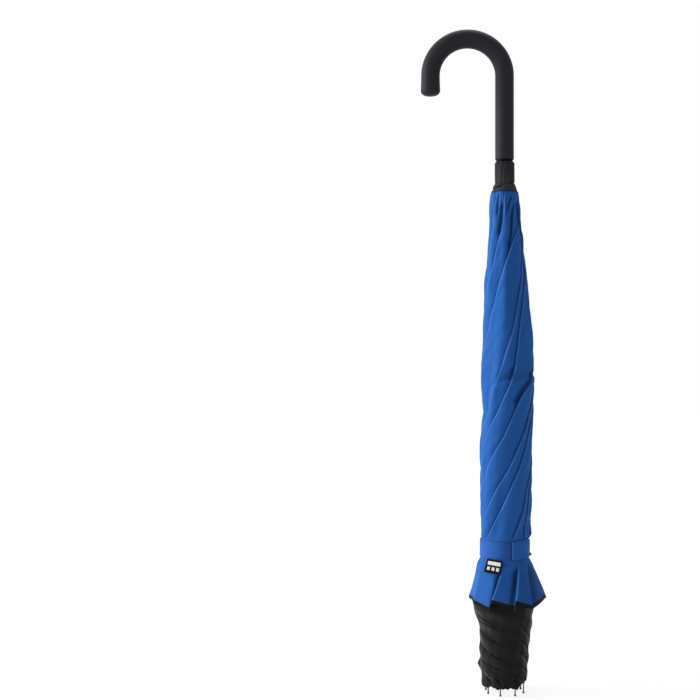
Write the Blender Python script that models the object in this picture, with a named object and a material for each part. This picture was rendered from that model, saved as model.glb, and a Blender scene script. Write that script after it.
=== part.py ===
"""A reversible stick umbrella, closed, strapped and standing on its eight rib tips.

Metres, +Z up, crook handle on top and pointing to -X, front towards -Y. The ribs hinge on the
runner, which waits under the handle, and the stretchers hinge on the crown at the shaft's far
end. Sliding the runner down the shaft swings the ribs out and turns the cloth inside out.
"""

import math

import bmesh
import bpy
import numpy as np
from mathutils import Matrix, Vector

# Counts and angles
RIB_COUNT = 8
FIRST_RIB_ANGLE = math.radians(-154)
OPEN_RIB_ANGLE = math.radians(97)
FOLDS_PER_GORE = 1

# Gaps that keep neighbours apart
GAP = 0.0003
CLOTH_GAP = 0.0004
OVERRUN = 0.002

# Shaft
SHAFT_DIAMETER = 0.012
SHAFT_WALL = 0.0007
SHAFT_IN_HANDLE = 0.04

# Crook handle
HANDLE_DIAMETER = 0.0213
CROOK_RADIUS = 0.0437
HANDLE_STRAIGHT = 0.0988
CROOK_DROP = 0.0236
HANDLE_EDGE = 0.0006
CROOK_BULGE = 0.0005
CROOK_END_ROUND = 0.0065

# Ribs: a folded channel with a thin eye at its head
PIVOT_HEIGHT = 0.5865
RIB_PIVOT_RADIUS = 0.0095
TIP_RING_RADIUS = 0.0225
RIB_WIDTH = 0.0026
RIB_DEPTH = 0.0024
RIB_WALL = 0.0004
RIB_EYE_RADIUS = 0.002
RIB_EYE_THICKNESS = 0.0016
RIB_HEAD_LENGTH = 0.0055
RIB_NECK_LENGTH = 0.01
WIRE_DIAMETER = 0.0012
WIRE_CLEARANCE = 0.00035

# Rib tips
TIP_BALL_DIAMETER = 0.0028
TIP_FLAT_DEPTH = 0.0004
TIP_ROD_DIAMETER = 0.0015
TIP_ROD_LENGTH = 0.0085
TIP_SOCKET_DIAMETER = 0.0036
TIP_SOCKET_LENGTH = 0.008

# Stretchers and the rivets that join them to the ribs
JOINT_REACH = 0.2
OPEN_SPACING = 0.03
STRETCHER_PIVOT_RADIUS = 0.0092
STRETCHER_WIDTH = 0.0024
STRETCHER_THICKNESS = 0.0012
STRETCHER_EYE_RADIUS = 0.0019
RIVET_DIAMETER = 0.0014
RIVET_CLEARANCE = 0.0004
RIVET_HEAD_DIAMETER = 0.0032
RIVET_HEAD_THICKNESS = 0.0006

# Crown and ferrule cap at the shaft's far end
CROWN_RADIUS = 0.0115
CROWN_RISE = 0.004
CROWN_DROP = 0.0035
CROWN_SKIRT = 0.007
CROWN_NECK_RADIUS = 0.0085
CROWN_BEVEL = 0.0006
SLOT_INNER_RADIUS = 0.0069
SLOT_CLEARANCE = 0.0004
CAP_RADIUS = 0.0085
CAP_LENGTH = 0.011
CAP_RIM = 0.0008
CAP_SPIGOT_RADIUS = 0.0048
CAP_SPIGOT_LENGTH = 0.004

# Runner, its cloth sleeve and its flared collar
RUNNER_CLEARANCE = 0.0003
RUNNER_RISE = 0.0382
RUNNER_WALL = 0.0022
RUNNER_FLANGE_RADIUS = 0.0112
FLANGE_RISE = 0.0028
FLANGE_DROP = 0.003
RUNNER_HEAD_RADIUS = 0.0098
RUNNER_HEAD_HEIGHT = 0.0018
HANDLE_STAND_OFF = 0.0004
COLLAR_RADIUS = 0.01535
COLLAR_HEIGHT = 0.0088
COLLAR_LIP = 0.0014
SLEEVE_RADIUS = 0.01125
SLEEVE_RIM = 0.0004
SLEEVE_RIM_HEIGHT = 0.003

# Spring catch that keeps the runner open
CATCH_WIDTH = 0.003
CATCH_HEIGHT = 0.012
CATCH_PROUD = 0.0018
CATCH_STEP = 0.002
CATCH_DEPTH = 0.0032
CATCH_ANGLE = math.radians(90)

# Furled cloth: each outline is a table of shares, top to bottom
LINING_NECK_RADIUS = 0.0158
LINING_BODY_RADIUS = 0.0309
LINING_WAIST_RADIUS = 0.0278
HEM_RADIUS = 0.0462
HEM_HEIGHT = 0.1022
HEM_RISE = 0.007
SKIRT_HEIGHT = 0.06
SKIRT_THICKNESS = 0.004
FOLD_DEPTH = 0.0026
FOLD_PITCH = 0.72
RIB_COVER = 0.0024
ROWS_ABOVE_STRAP = 18
ROWS_BELOW_STRAP = 4
GORE_COLUMNS = 8
BODY_RADIUS_SHARES = (
    (0.0, 0.0), (0.012, 0.06), (0.03, 0.13), (0.075, 0.17), (0.12, 0.29), (0.17, 0.42),
    (0.24, 0.57), (0.31, 0.72), (0.38, 0.89), (0.46, 1.0), (0.6, 1.0), (0.78, 1.0), (1.0, 1.0),
)

CANOPY_HEM_HEIGHT = 0.0082
CANOPY_TOP_DROP = 0.00905
CANOPY_HEM_RADIUS = 0.0262
CANOPY_FLARE_RADIUS = 0.0352
CANOPY_TOP_RADIUS = 0.0255
CANOPY_FOLD_DEPTH = 0.0016
CANOPY_FOLD_PITCH = 0.16
CANOPY_ROWS = 12
CANOPY_RADIUS_SHARES = ((0.0, 0.0), (0.15, 0.1), (0.35, 0.13), (0.52, 0.4), (0.64, 1.0), (0.74, 0.95))

INNER_THICKNESS = 0.0016
INNER_MARGIN = 0.012
INNER_ROWS = 4
INNER_COLUMNS = 3

# Closing strap, its free end, the woven label and the stitched loop
STRAP_MIDDLE_HEIGHT = 0.1694
STRAP_WIDTH = 0.0208
STRAP_THICKNESS = 0.0009
STRAP_FREE_END_ANGLE = math.radians(-76)
STRAP_SEWN_END_ANGLE = math.radians(-58)
STRAP_ROOT_ANGLE = math.radians(-1)
STRAP_STEPS = 44
FLAP_STEPS = 12
FLAP_LIFT = 0.0014
LABEL_WIDTH = 0.0225
LABEL_HEIGHT = 0.016
LABEL_THICKNESS = 0.0007
LABEL_ANGLE = math.radians(-114.5)
LABEL_TURN = math.radians(4.5)
LABEL_LEAN = math.radians(20)
LOOP_LENGTH = 0.005
LOOP_HEIGHT = 0.0036
LOOP_THICKNESS = 0.0024
LOOP_ANGLE = math.radians(11)

# Round pieces
FINE_SIDES = 24
TUBE_SIDES = 18
SMALL_SIDES = 8
WIRE_SIDES = 6
WIRE_STEPS_PER_RIB = 4
ARC_STEPS = 20
BALL_STEPS = 4
EYE_STEPS = 8
NOSE_STEPS = 4
NOSE_ANGLE = math.radians(79)
BLUNT_SHARE = 0.65

# Worked out from the sizes above
SHAFT_RADIUS = SHAFT_DIAMETER / 2
BORE_RADIUS = SHAFT_RADIUS + RUNNER_CLEARANCE
GORE_ANGLE = math.tau / RIB_COUNT
TIP_HEIGHT = TIP_BALL_DIAMETER - TIP_FLAT_DEPTH + TIP_ROD_LENGTH + TIP_SOCKET_LENGTH
RIB_SLANT = math.atan((TIP_RING_RADIUS - RIB_PIVOT_RADIUS) / PIVOT_HEIGHT)
RIB_LENGTH = (PIVOT_HEIGHT - TIP_HEIGHT - GAP) / math.cos(RIB_SLANT)
STRETCHER_OFFSET = RIB_WIDTH / 2 + GAP + STRETCHER_THICKNESS / 2
OPEN_JOINT_OUT = RIB_PIVOT_RADIUS + JOINT_REACH * math.sin(OPEN_RIB_ANGLE) - STRETCHER_PIVOT_RADIUS
OPEN_JOINT_UP = OPEN_SPACING - JOINT_REACH * math.cos(OPEN_RIB_ANGLE)
STRETCHER_LENGTH = math.hypot(OPEN_JOINT_OUT, OPEN_JOINT_UP)
REST_JOINT_OUT = RIB_PIVOT_RADIUS + JOINT_REACH * math.sin(RIB_SLANT) - STRETCHER_PIVOT_RADIUS
STRETCHER_SLANT = math.asin(REST_JOINT_OUT / STRETCHER_LENGTH)
JOINT_HEIGHT = PIVOT_HEIGHT - JOINT_REACH * math.cos(RIB_SLANT)
CROWN_HEIGHT = JOINT_HEIGHT - STRETCHER_LENGTH * math.cos(STRETCHER_SLANT)
RUNNER_TRAVEL = PIVOT_HEIGHT - CROWN_HEIGHT - OPEN_SPACING
RUNNER_TOP = PIVOT_HEIGHT + RUNNER_RISE
HANDLE_BASE = RUNNER_TOP + HANDLE_STAND_OFF
CROOK_CENTRE_HEIGHT = HANDLE_BASE + HANDLE_STRAIGHT
FLANGE_TOP = PIVOT_HEIGHT + FLANGE_RISE
COLLAR_BASE = FLANGE_TOP + GAP
COLLAR_TOP = COLLAR_BASE + COLLAR_HEIGHT
LINING_TOP = COLLAR_BASE - CLOTH_GAP
SKIRT_TOP = HEM_HEIGHT + SKIRT_HEIGHT
CANOPY_TOP_HEIGHT = STRAP_MIDDLE_HEIGHT - STRAP_WIDTH / 2 - CANOPY_TOP_DROP
RUNNER_NECK_RADIUS = BORE_RADIUS + RUNNER_WALL
CATCH_BASE = RUNNER_TOP - RUNNER_TRAVEL + GAP
STRAP_INNER_RADIUS = LINING_WAIST_RADIUS + GAP
SHAFT_FOOT = CROWN_HEIGHT - CROWN_DROP - CROWN_SKIRT + CAP_SPIGOT_LENGTH


def rib_angle(number):
    """The direction of a rib about the shaft, from +X, for ribs counted from 1."""
    return FIRST_RIB_ANGLE + (number - 1) * GORE_ANGLE


def rib_radius(height):
    """How far a closed rib's middle lies from the shaft's axis at this height."""
    return RIB_PIVOT_RADIUS + (PIVOT_HEIGHT - height) * math.tan(RIB_SLANT)


def smooth(value):
    """A soft step from 0 to 1."""
    value = min(max(value, 0), 1)
    return value * value * (3 - 2 * value)


def share_at(shares, place):
    """The share that a table gives at this place, along straight lines."""
    return float(np.interp(place, [row[0] for row in shares], [row[1] for row in shares]))


def lining_radius(height):
    """The furled lining's outer radius: a slim neck, a full body, a waist under the strap and a skirt."""
    down = (LINING_TOP - height) / (LINING_TOP - SKIRT_TOP)
    full = share_at(BODY_RADIUS_SHARES, down)
    radius = LINING_NECK_RADIUS + (LINING_BODY_RADIUS - LINING_NECK_RADIUS) * full
    strap_low = STRAP_MIDDLE_HEIGHT - STRAP_WIDTH / 2
    strap_high = STRAP_MIDDLE_HEIGHT + STRAP_WIDTH / 2
    waist = 1 - smooth((height - strap_high) / STRAP_WIDTH)
    radius += (LINING_WAIST_RADIUS - radius) * waist
    if height < strap_low:
        radius += (HEM_RADIUS - LINING_WAIST_RADIUS) * (strap_low - height) / (strap_low - HEM_HEIGHT)
    return radius


def canopy_radius(height):
    """The outer canopy's radius: straight near the tips and flared where the lining's hem ends."""
    up = (height - CANOPY_HEM_HEIGHT) / (CANOPY_TOP_HEIGHT - CANOPY_HEM_HEIGHT)
    flare = share_at(CANOPY_RADIUS_SHARES, up)
    radius = CANOPY_HEM_RADIUS + (CANOPY_FLARE_RADIUS - CANOPY_HEM_RADIUS) * flare
    top_share = CANOPY_RADIUS_SHARES[-1][0]
    return radius + (CANOPY_TOP_RADIUS - radius) * smooth((up - top_share) / (1 - top_share))


def new_object(name, mesh, material):
    """Adds a mesh to the scene as a named object with one material."""
    part = bpy.data.objects.new(name, mesh)
    if not mesh.materials:
        mesh.materials.append(material)
    bpy.context.scene.collection.objects.link(part)
    return part


def finish(shape, name, sharp=math.radians(35)):
    """Turns a bmesh into a mesh with faces out, shaded smooth but for its sharp edges."""
    bmesh.ops.recalc_face_normals(shape, faces=shape.faces)
    mesh = bpy.data.meshes.new(name)
    shape.to_mesh(mesh)
    shape.free()
    mesh.shade_smooth()
    mesh.set_sharp_from_angle(angle=sharp)
    return mesh


def turned(name, profile, sides=FINE_SIDES):
    """Spins a closed (radius, height) outline about the Z axis."""
    shape = bmesh.new()
    points = [shape.verts.new((radius, 0, height)) for radius, height in profile]
    edges = [shape.edges.new((a, b)) for a, b in zip(points, points[1:] + points[:1])]
    bmesh.ops.spin(
        shape, geom=points + edges, cent=Vector(), axis=Vector((0, 0, 1)), dvec=Vector(),
        angle=math.tau, steps=sides, use_merge=True, use_duplicate=False,
    )
    return finish(shape, name)


def turned_solid(name, profile, sides=FINE_SIDES):
    """Turns an open (radius, height) outline, whose two ends are capped with flat faces."""
    rings = [ring(Vector((0, 0, height)), Vector((1, 0, 0)), Vector((0, 1, 0)), radius, sides)
             for radius, height in profile]
    return ringed(name, rings)


def ring(centre, across, aside, radius, sides):
    """The points of one circle about a centre, in the plane of two directions."""
    turns = [math.tau * k / sides for k in range(sides)]
    return [centre + (across * math.cos(t) + aside * math.sin(t)) * radius for t in turns]


def ringed(name, rings):
    """One closed body through a row of rings, capped at both ends."""
    shape = bmesh.new()
    rows = [[shape.verts.new(point) for point in points] for points in rings]
    sides = len(rows[0])
    for low, high in zip(rows, rows[1:]):
        for k in range(sides):
            after = (k + 1) % sides
            shape.faces.new((low[k], low[after], high[after], high[k]))
    shape.faces.new(rows[0][::-1])
    shape.faces.new(rows[-1])
    return finish(shape, name)


def prism(name, outline, low, high, upright):
    """Extrudes a flat outline from low to high: in Z where upright, otherwise in Y from (x, z) points."""
    shape = bmesh.new()
    place = (lambda a, b, c: (a, b, c)) if upright else (lambda a, b, c: (a, c, b))
    base = shape.faces.new([shape.verts.new(place(a, b, low)) for a, b in outline])
    grown = bmesh.ops.extrude_face_region(shape, geom=[base])
    far_end = [v for v in grown["geom"] if isinstance(v, bmesh.types.BMVert)]
    bmesh.ops.translate(shape, verts=far_end, vec=Vector(place(0, 0, high - low)))
    return finish(shape, name)


def block(name, low, high):
    """A box between two corners."""
    outline = [(low[0], low[1]), (high[0], low[1]), (high[0], high[1]), (low[0], high[1])]
    return prism(name, outline, low[2], high[2], True)


def pin(name, radius, low, high, sides=SMALL_SIDES):
    """A round pin along Y through the origin's X and Z."""
    turns = [math.tau * (k + 0.5) / sides for k in range(sides)]
    outline = [(radius * math.cos(t), radius * math.sin(t)) for t in turns]
    return prism(name, outline, low, high, False)


def moved(mesh, offset, turn=0.0):
    """Moves a mesh's own points, after turning them about Z."""
    mesh.transform(Matrix.Translation(offset) @ Matrix.Rotation(turn, 4, "Z"))
    return mesh


def combined(name, base, joined=(), cut=()):
    """Joins and cuts meshes with exact Booleans and returns the resulting mesh."""
    body = bpy.data.objects.new(name, base)
    bpy.context.scene.collection.objects.link(body)
    helpers = []
    for operation, meshes in (("UNION", joined), ("DIFFERENCE", cut)):
        for mesh in meshes:
            helper = bpy.data.objects.new(name + "_tool", mesh)
            bpy.context.scene.collection.objects.link(helper)
            helpers.append(helper)
            step = body.modifiers.new("step", "BOOLEAN")
            step.operation = operation
            step.solver = "EXACT"
            step.object = helper
    bpy.context.view_layer.update()
    result = bpy.data.meshes.new_from_object(body.evaluated_get(bpy.context.evaluated_depsgraph_get()))
    result.name = name
    for helper in helpers + [body]:
        bpy.data.objects.remove(helper)
    result.materials.clear()
    result.shade_smooth()
    result.set_sharp_from_angle(angle=math.radians(35))
    return result


def slab(name, outer, inner):
    """A closed shell between two grids of points of the same size, the first facing out."""
    shape = bmesh.new()
    sheets = [[[shape.verts.new(point) for point in row] for row in grid] for grid in (outer, inner)]
    rows, columns = len(outer), len(outer[0])
    inner_columns = len(inner[0])
    for grid, count in zip(sheets, (columns, inner_columns)):
        for i in range(rows - 1):
            for j in range(count - 1):
                shape.faces.new((grid[i][j], grid[i][j + 1], grid[i + 1][j + 1], grid[i + 1][j]))
    front, back = sheets
    for i in range(rows - 1):
        for side in (0, -1):
            shape.faces.new((front[i][side], back[i][side], back[i + 1][side], front[i + 1][side]))
    for end in (0, -1):
        shape.faces.new(front[end] + back[end][::-1])
    return finish(shape, name, math.radians(50))


def colour(name, red, green, blue, roughness, metallic=0.0):
    """A plain material."""
    material = bpy.data.materials.new(name)
    material.use_nodes = True
    surface = material.node_tree.nodes["Principled BSDF"]
    surface.inputs["Base Color"].default_value = (red, green, blue, 1)
    surface.inputs["Roughness"].default_value = roughness
    surface.inputs["Metallic"].default_value = metallic
    return material


def empty(name, parent, location, rotation=(0, 0, 0)):
    """An empty that carries what moves together."""
    holder = bpy.data.objects.new(name, None)
    bpy.context.scene.collection.objects.link(holder)
    holder.parent = parent
    holder.location = location
    holder.rotation_euler = rotation
    return holder


def carry(part, parent, location=(0, 0, 0), rotation=(0, 0, 0)):
    """Places a part in its parent's own directions."""
    part.parent = parent
    part.location = location
    part.rotation_euler = rotation
    return part


def polar(radius, angle, height):
    """A point from its distance, direction and height."""
    return Vector((radius * math.cos(angle), radius * math.sin(angle), height))


def crook_mesh():
    """The handle: a blind bore, a straight grip, a half-circle arch and a rounded end."""
    across, aside, up = Vector((1, 0, 0)), Vector((0, 1, 0)), Vector((0, 0, 1))
    radius = HANDLE_DIAMETER / 2
    base = up * HANDLE_BASE
    bore = SHAFT_RADIUS + GAP
    sections = [
        (up * (HANDLE_BASE + SHAFT_IN_HANDLE + GAP), across, bore), (base, across, bore),
        (base, across, radius - HANDLE_EDGE), (base + up * HANDLE_EDGE, across, radius),
    ]
    centre = Vector((-CROOK_RADIUS, 0, CROOK_CENTRE_HEIGHT))
    for k in range(ARC_STEPS + 1):
        turn = math.pi * k / ARC_STEPS
        out = across * math.cos(turn) + up * math.sin(turn)
        sections.append((centre + out * CROOK_RADIUS, out, radius))
    end = centre - across * CROOK_RADIUS
    neck = CROOK_DROP - CROOK_END_ROUND
    sections.append((end - up * neck / 2, -across, radius))
    sections.append((end - up * neck, -across, radius + CROOK_BULGE))
    for k in range(1, NOSE_STEPS + 1):
        turn = NOSE_ANGLE * k / NOSE_STEPS
        shrink = (radius + CROOK_BULGE) * math.cos(turn) ** BLUNT_SHARE
        sections.append((end - up * (neck + CROOK_END_ROUND * math.sin(turn)), -across, shrink))
    return ringed("handle_crook", [ring(c, o, aside, r, TUBE_SIDES) for c, o, r in sections])


def wire_ring(name, radius, height):
    """The wire that the eyes of the ribs or the stretchers turn on."""
    shape = bmesh.new()
    half = WIRE_DIAMETER / 2
    turns = [math.tau * k / WIRE_SIDES for k in range(WIRE_SIDES)]
    points = [shape.verts.new((radius + half * math.cos(t), 0, height + half * math.sin(t))) for t in turns]
    edges = [shape.edges.new((a, b)) for a, b in zip(points, points[1:] + points[:1])]
    bmesh.ops.spin(
        shape, geom=points + edges, cent=Vector(), axis=Vector((0, 0, 1)), dvec=Vector(),
        angle=math.tau, steps=RIB_COUNT * WIRE_STEPS_PER_RIB, use_merge=True, use_duplicate=False,
    )
    return finish(shape, name)


def slots(width, offset, low, high, outer):
    """One cutter for each rib direction, from near the shaft to past the rim."""
    cutters = []
    for number in range(1, RIB_COUNT + 1):
        low_corner = (SLOT_INNER_RADIUS, offset - width / 2, low)
        high_corner = (outer + OVERRUN, offset + width / 2, high)
        cutters.append(moved(block("slot", low_corner, high_corner), Vector(), rib_angle(number)))
    return cutters


def crown_mesh():
    """The fixed crown: a slotted flange on a neck, with the stretchers' wire bedded in it."""
    top, floor = CROWN_HEIGHT + CROWN_RISE, CROWN_HEIGHT - CROWN_DROP
    bore = SHAFT_RADIUS + GAP
    body = turned("crown", [
        (bore, top), (CROWN_RADIUS, top), (CROWN_RADIUS, floor), (CROWN_NECK_RADIUS, floor - CROWN_BEVEL),
        (CROWN_NECK_RADIUS, floor - CROWN_SKIRT), (bore, floor - CROWN_SKIRT),
    ])
    width = STRETCHER_THICKNESS + 2 * SLOT_CLEARANCE
    low = CROWN_HEIGHT - STRETCHER_EYE_RADIUS - SLOT_CLEARANCE
    cutters = slots(width, STRETCHER_OFFSET, low, top + OVERRUN, CROWN_RADIUS)
    body = combined("crown", body, cut=cutters)
    wire_radius = math.hypot(STRETCHER_PIVOT_RADIUS, STRETCHER_OFFSET)
    return combined("crown", body, joined=[wire_ring("crown_wire", wire_radius, CROWN_HEIGHT)])


def cap_mesh():
    """The ferrule cap: a spigot that plugs the shaft and a domed nose under the crown."""
    seat = CROWN_HEIGHT - CROWN_DROP - CROWN_SKIRT - GAP
    outline = [(CAP_SPIGOT_RADIUS, seat + CAP_SPIGOT_LENGTH), (CAP_SPIGOT_RADIUS, seat), (CAP_RADIUS, seat)]
    for k in range(NOSE_STEPS + 1):
        turn = NOSE_ANGLE * k / NOSE_STEPS
        nose = seat - CAP_RIM - (CAP_LENGTH - CAP_RIM) * math.sin(turn)
        outline.append((CAP_RADIUS * math.cos(turn) ** BLUNT_SHARE, nose))
    return turned_solid("ferrule_cap", outline[::-1])


def shaft_mesh():
    """The tube, with the slot that the catch stands in."""
    top = HANDLE_BASE + SHAFT_IN_HANDLE
    inner = SHAFT_RADIUS - SHAFT_WALL
    outline = [(SHAFT_RADIUS, top), (SHAFT_RADIUS, SHAFT_FOOT), (inner, SHAFT_FOOT), (inner, top)]
    low_corner = (inner - CATCH_DEPTH / 2, -CATCH_WIDTH / 2 - GAP, CATCH_BASE - GAP)
    high_corner = (SHAFT_RADIUS + OVERRUN, CATCH_WIDTH / 2 + GAP, CATCH_BASE + CATCH_HEIGHT + GAP)
    slot = moved(block("slot", low_corner, high_corner), Vector(), CATCH_ANGLE)
    return combined("shaft_tube", turned("shaft_tube", outline), cut=[slot])


def catch_mesh():
    """The sprung wedge: flat below, where it holds the runner, and sloped above."""
    root = SHAFT_RADIUS - CATCH_DEPTH
    proud = SHAFT_RADIUS + CATCH_PROUD
    flush = SHAFT_RADIUS - SHAFT_WALL
    outline = [(root, 0), (proud, 0), (proud, CATCH_STEP), (flush, CATCH_HEIGHT), (root, CATCH_HEIGHT)]
    return prism("runner_catch", outline, -CATCH_WIDTH / 2, CATCH_WIDTH / 2, False)


def runner_mesh():
    """The runner: a tube with a head under the handle and a slotted flange that holds the rib eyes."""
    low = PIVOT_HEIGHT - FLANGE_DROP
    head = RUNNER_TOP - RUNNER_HEAD_HEIGHT
    body = turned("runner_body", [
        (BORE_RADIUS, RUNNER_TOP), (RUNNER_HEAD_RADIUS, RUNNER_TOP),
        (RUNNER_HEAD_RADIUS, head), (RUNNER_NECK_RADIUS, head),
        (RUNNER_NECK_RADIUS, FLANGE_TOP), (RUNNER_FLANGE_RADIUS, FLANGE_TOP),
        (RUNNER_FLANGE_RADIUS, low), (BORE_RADIUS, low),
    ])
    width = RIB_EYE_THICKNESS + 2 * SLOT_CLEARANCE
    roof = PIVOT_HEIGHT + RIB_EYE_RADIUS + GAP
    cutters = slots(width, 0, low - OVERRUN, roof, RUNNER_FLANGE_RADIUS)
    body = combined("runner_body", body, cut=cutters)
    return combined("runner_body", body, joined=[wire_ring("runner_wire", RIB_PIVOT_RADIUS, PIVOT_HEIGHT)])


def collar_mesh():
    """The flared collar that covers the rib eyes and the lining's top edge."""
    bore = RUNNER_NECK_RADIUS + GAP
    return turned("runner_collar", [
        (bore, COLLAR_TOP), (SLEEVE_RADIUS, COLLAR_TOP), (COLLAR_RADIUS, COLLAR_BASE + COLLAR_LIP),
        (COLLAR_RADIUS, COLLAR_BASE), (bore, COLLAR_BASE),
    ])


def sleeve_mesh():
    """The gathered cloth sleeve round the runner, with a soft rim at its top."""
    bore = RUNNER_NECK_RADIUS + GAP
    low = COLLAR_TOP + GAP
    high = RUNNER_TOP - RUNNER_HEAD_HEIGHT - GAP
    rim = high - SLEEVE_RIM_HEIGHT
    slim, full = SLEEVE_RADIUS - SLEEVE_RIM, SLEEVE_RADIUS + SLEEVE_RIM
    return turned("runner_sleeve", [
        (bore, high), (SLEEVE_RADIUS, high), (full, (high + rim) / 2), (slim, rim),
        (SLEEVE_RADIUS, (rim + low) / 2), (slim, low), (bore, low),
    ])


def rib_mesh():
    """A rib from its hinge at the origin down -Z, +X facing out: eye, neck, channel and rivet."""
    half, deep = RIB_WIDTH / 2, RIB_DEPTH / 2
    channel = prism("rib", [
        (-deep, -half), (deep, -half), (deep, half), (-deep, half), (-deep, half - RIB_WALL),
        (deep - RIB_WALL, half - RIB_WALL), (deep - RIB_WALL, -half + RIB_WALL), (-deep, -half + RIB_WALL),
    ], -RIB_LENGTH, -RIB_HEAD_LENGTH, True)
    thin = RIB_EYE_THICKNESS / 2
    neck_half = half - RIB_WALL / 2
    neck_deep = deep - RIB_WALL / 2
    shoulder = block("neck", (-neck_deep, -neck_half, -RIB_NECK_LENGTH),
                     (neck_deep, neck_half, -RIB_HEAD_LENGTH + RIB_WALL))
    start = math.asin(neck_deep / RIB_EYE_RADIUS) - math.pi / 2
    turns = [start + (math.pi - 2 * start) * k / EYE_STEPS for k in range(EYE_STEPS + 1)]
    outline = [(RIB_EYE_RADIUS * math.cos(t), RIB_EYE_RADIUS * math.sin(t)) for t in turns]
    outline += [(-neck_deep, -RIB_HEAD_LENGTH - RIB_WALL), (neck_deep, -RIB_HEAD_LENGTH - RIB_WALL)]
    eye = prism("eye", outline, -thin, thin, False)
    hole = pin("hole", WIRE_DIAMETER / 2 + WIRE_CLEARANCE, -half, half)
    out = STRETCHER_OFFSET + STRETCHER_THICKNESS / 2 + GAP
    down = Vector((0, 0, -JOINT_REACH))
    rivet_end = out + RIVET_HEAD_THICKNESS / 2
    rivet = moved(pin("rivet", RIVET_DIAMETER / 2, -half + RIB_WALL / 2, rivet_end), down)
    head = moved(pin("head", RIVET_HEAD_DIAMETER / 2, out, out + RIVET_HEAD_THICKNESS), down)
    return combined("rib", channel, joined=[shoulder, eye, rivet, head], cut=[hole])


def stretcher_mesh():
    """A flat stretcher from its hinge at the origin up +Z, with an eye at each end."""
    half, thin, eye = STRETCHER_WIDTH / 2, STRETCHER_THICKNESS / 2, STRETCHER_EYE_RADIUS
    start = math.asin(half / eye)
    sweep = math.tau - 2 * start
    outline = []
    for centre, facing in ((0, math.pi / 2), (STRETCHER_LENGTH, -math.pi / 2)):
        for k in range(EYE_STEPS + 1):
            turn = facing + start + sweep * k / EYE_STEPS
            outline.append((eye * math.cos(turn), centre + eye * math.sin(turn)))
    bar = prism("stretcher", outline, -thin, thin, False)
    low_hole = pin("hole", WIRE_DIAMETER / 2 + WIRE_CLEARANCE, -half, half)
    far_end = Vector((0, 0, STRETCHER_LENGTH))
    high_hole = moved(pin("hole", RIVET_DIAMETER / 2 + RIVET_CLEARANCE, -half, half), far_end)
    return combined("stretcher", bar, cut=[low_hole, high_hole])


def tip_mesh():
    """A rib tip: a ball with a small flat to stand on, a thin rod and a socket for the rib's end."""
    ball, rod, socket = TIP_BALL_DIAMETER / 2, TIP_ROD_DIAMETER / 2, TIP_SOCKET_DIAMETER / 2
    middle = ball - TIP_FLAT_DEPTH
    low, high = -math.asin(middle / ball), math.acos(rod / ball)
    outline = []
    for k in range(BALL_STEPS + 1):
        turn = low + (high - low) * k / BALL_STEPS
        outline.append((ball * math.cos(turn), middle + ball * math.sin(turn)))
    rod_top = TIP_HEIGHT - TIP_SOCKET_LENGTH
    outline += [(rod, rod_top), (socket, rod_top + socket), (socket, TIP_HEIGHT)]
    return turned_solid("rib_tip", outline, SMALL_SIDES)


def fold_share(angle, height, pitch, top):
    """How far round from one fold's edge to the next a point lies; the edges wind round the bundle."""
    turn = angle / GORE_ANGLE * FOLDS_PER_GORE + (top - height) / pitch * RIB_COUNT * FOLDS_PER_GORE
    return turn - math.floor(turn)


def lining_heights():
    """The heights of the lining's rows, with one at each edge of the strap."""
    strap_high = STRAP_MIDDLE_HEIGHT + STRAP_WIDTH / 2
    above = np.linspace(LINING_TOP, strap_high, ROWS_ABOVE_STRAP)
    below = np.linspace(strap_high - STRAP_WIDTH, HEM_HEIGHT, ROWS_BELOW_STRAP)
    return [float(height) for height in np.concatenate((above, below))]


def lining_mesh():
    """One furled gore of the lining between two ribs: spiral folds above the strap and a skirt below."""
    outer, inner = [], []
    strap_high = STRAP_MIDDLE_HEIGHT + STRAP_WIDTH / 2
    for base in lining_heights():
        outer_row, inner_row = [], []
        lift = smooth((SKIRT_TOP - base) / SKIRT_HEIGHT)
        cover = rib_radius(base) + RIB_COVER
        if base < CANOPY_TOP_HEIGHT + STRAP_WIDTH / 2:
            cover = max(cover, lining_radius(base) - SKIRT_THICKNESS)
        for j in range(GORE_COLUMNS + 1):
            turn = GORE_ANGLE * j / GORE_COLUMNS
            share = fold_share(turn, base, FOLD_PITCH, LINING_TOP)
            height = base + HEM_RISE * share * lift
            above_strap = smooth((base - strap_high) / STRAP_WIDTH)
            below_neck = smooth((LINING_TOP - base) / STRAP_WIDTH)
            depth = FOLD_DEPTH * (above_strap * below_neck + lift)
            radius = max(lining_radius(base) - depth * share, cover + CLOTH_GAP)
            edge = math.asin(CLOTH_GAP / 2 / radius)
            turn = min(max(turn, edge), GORE_ANGLE - edge)
            outer_row.append(polar(radius, turn, height))
            if j in (0, GORE_COLUMNS // 2, GORE_COLUMNS):
                inner_edge = math.asin(CLOTH_GAP / 2 / cover)
                inner_turn = min(max(turn, inner_edge), GORE_ANGLE - inner_edge)
                inner_row.append(polar(cover, inner_turn, height))
        outer.append(outer_row)
        inner.append(inner_row)
    return slab("lining_gore", outer, inner)


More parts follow.
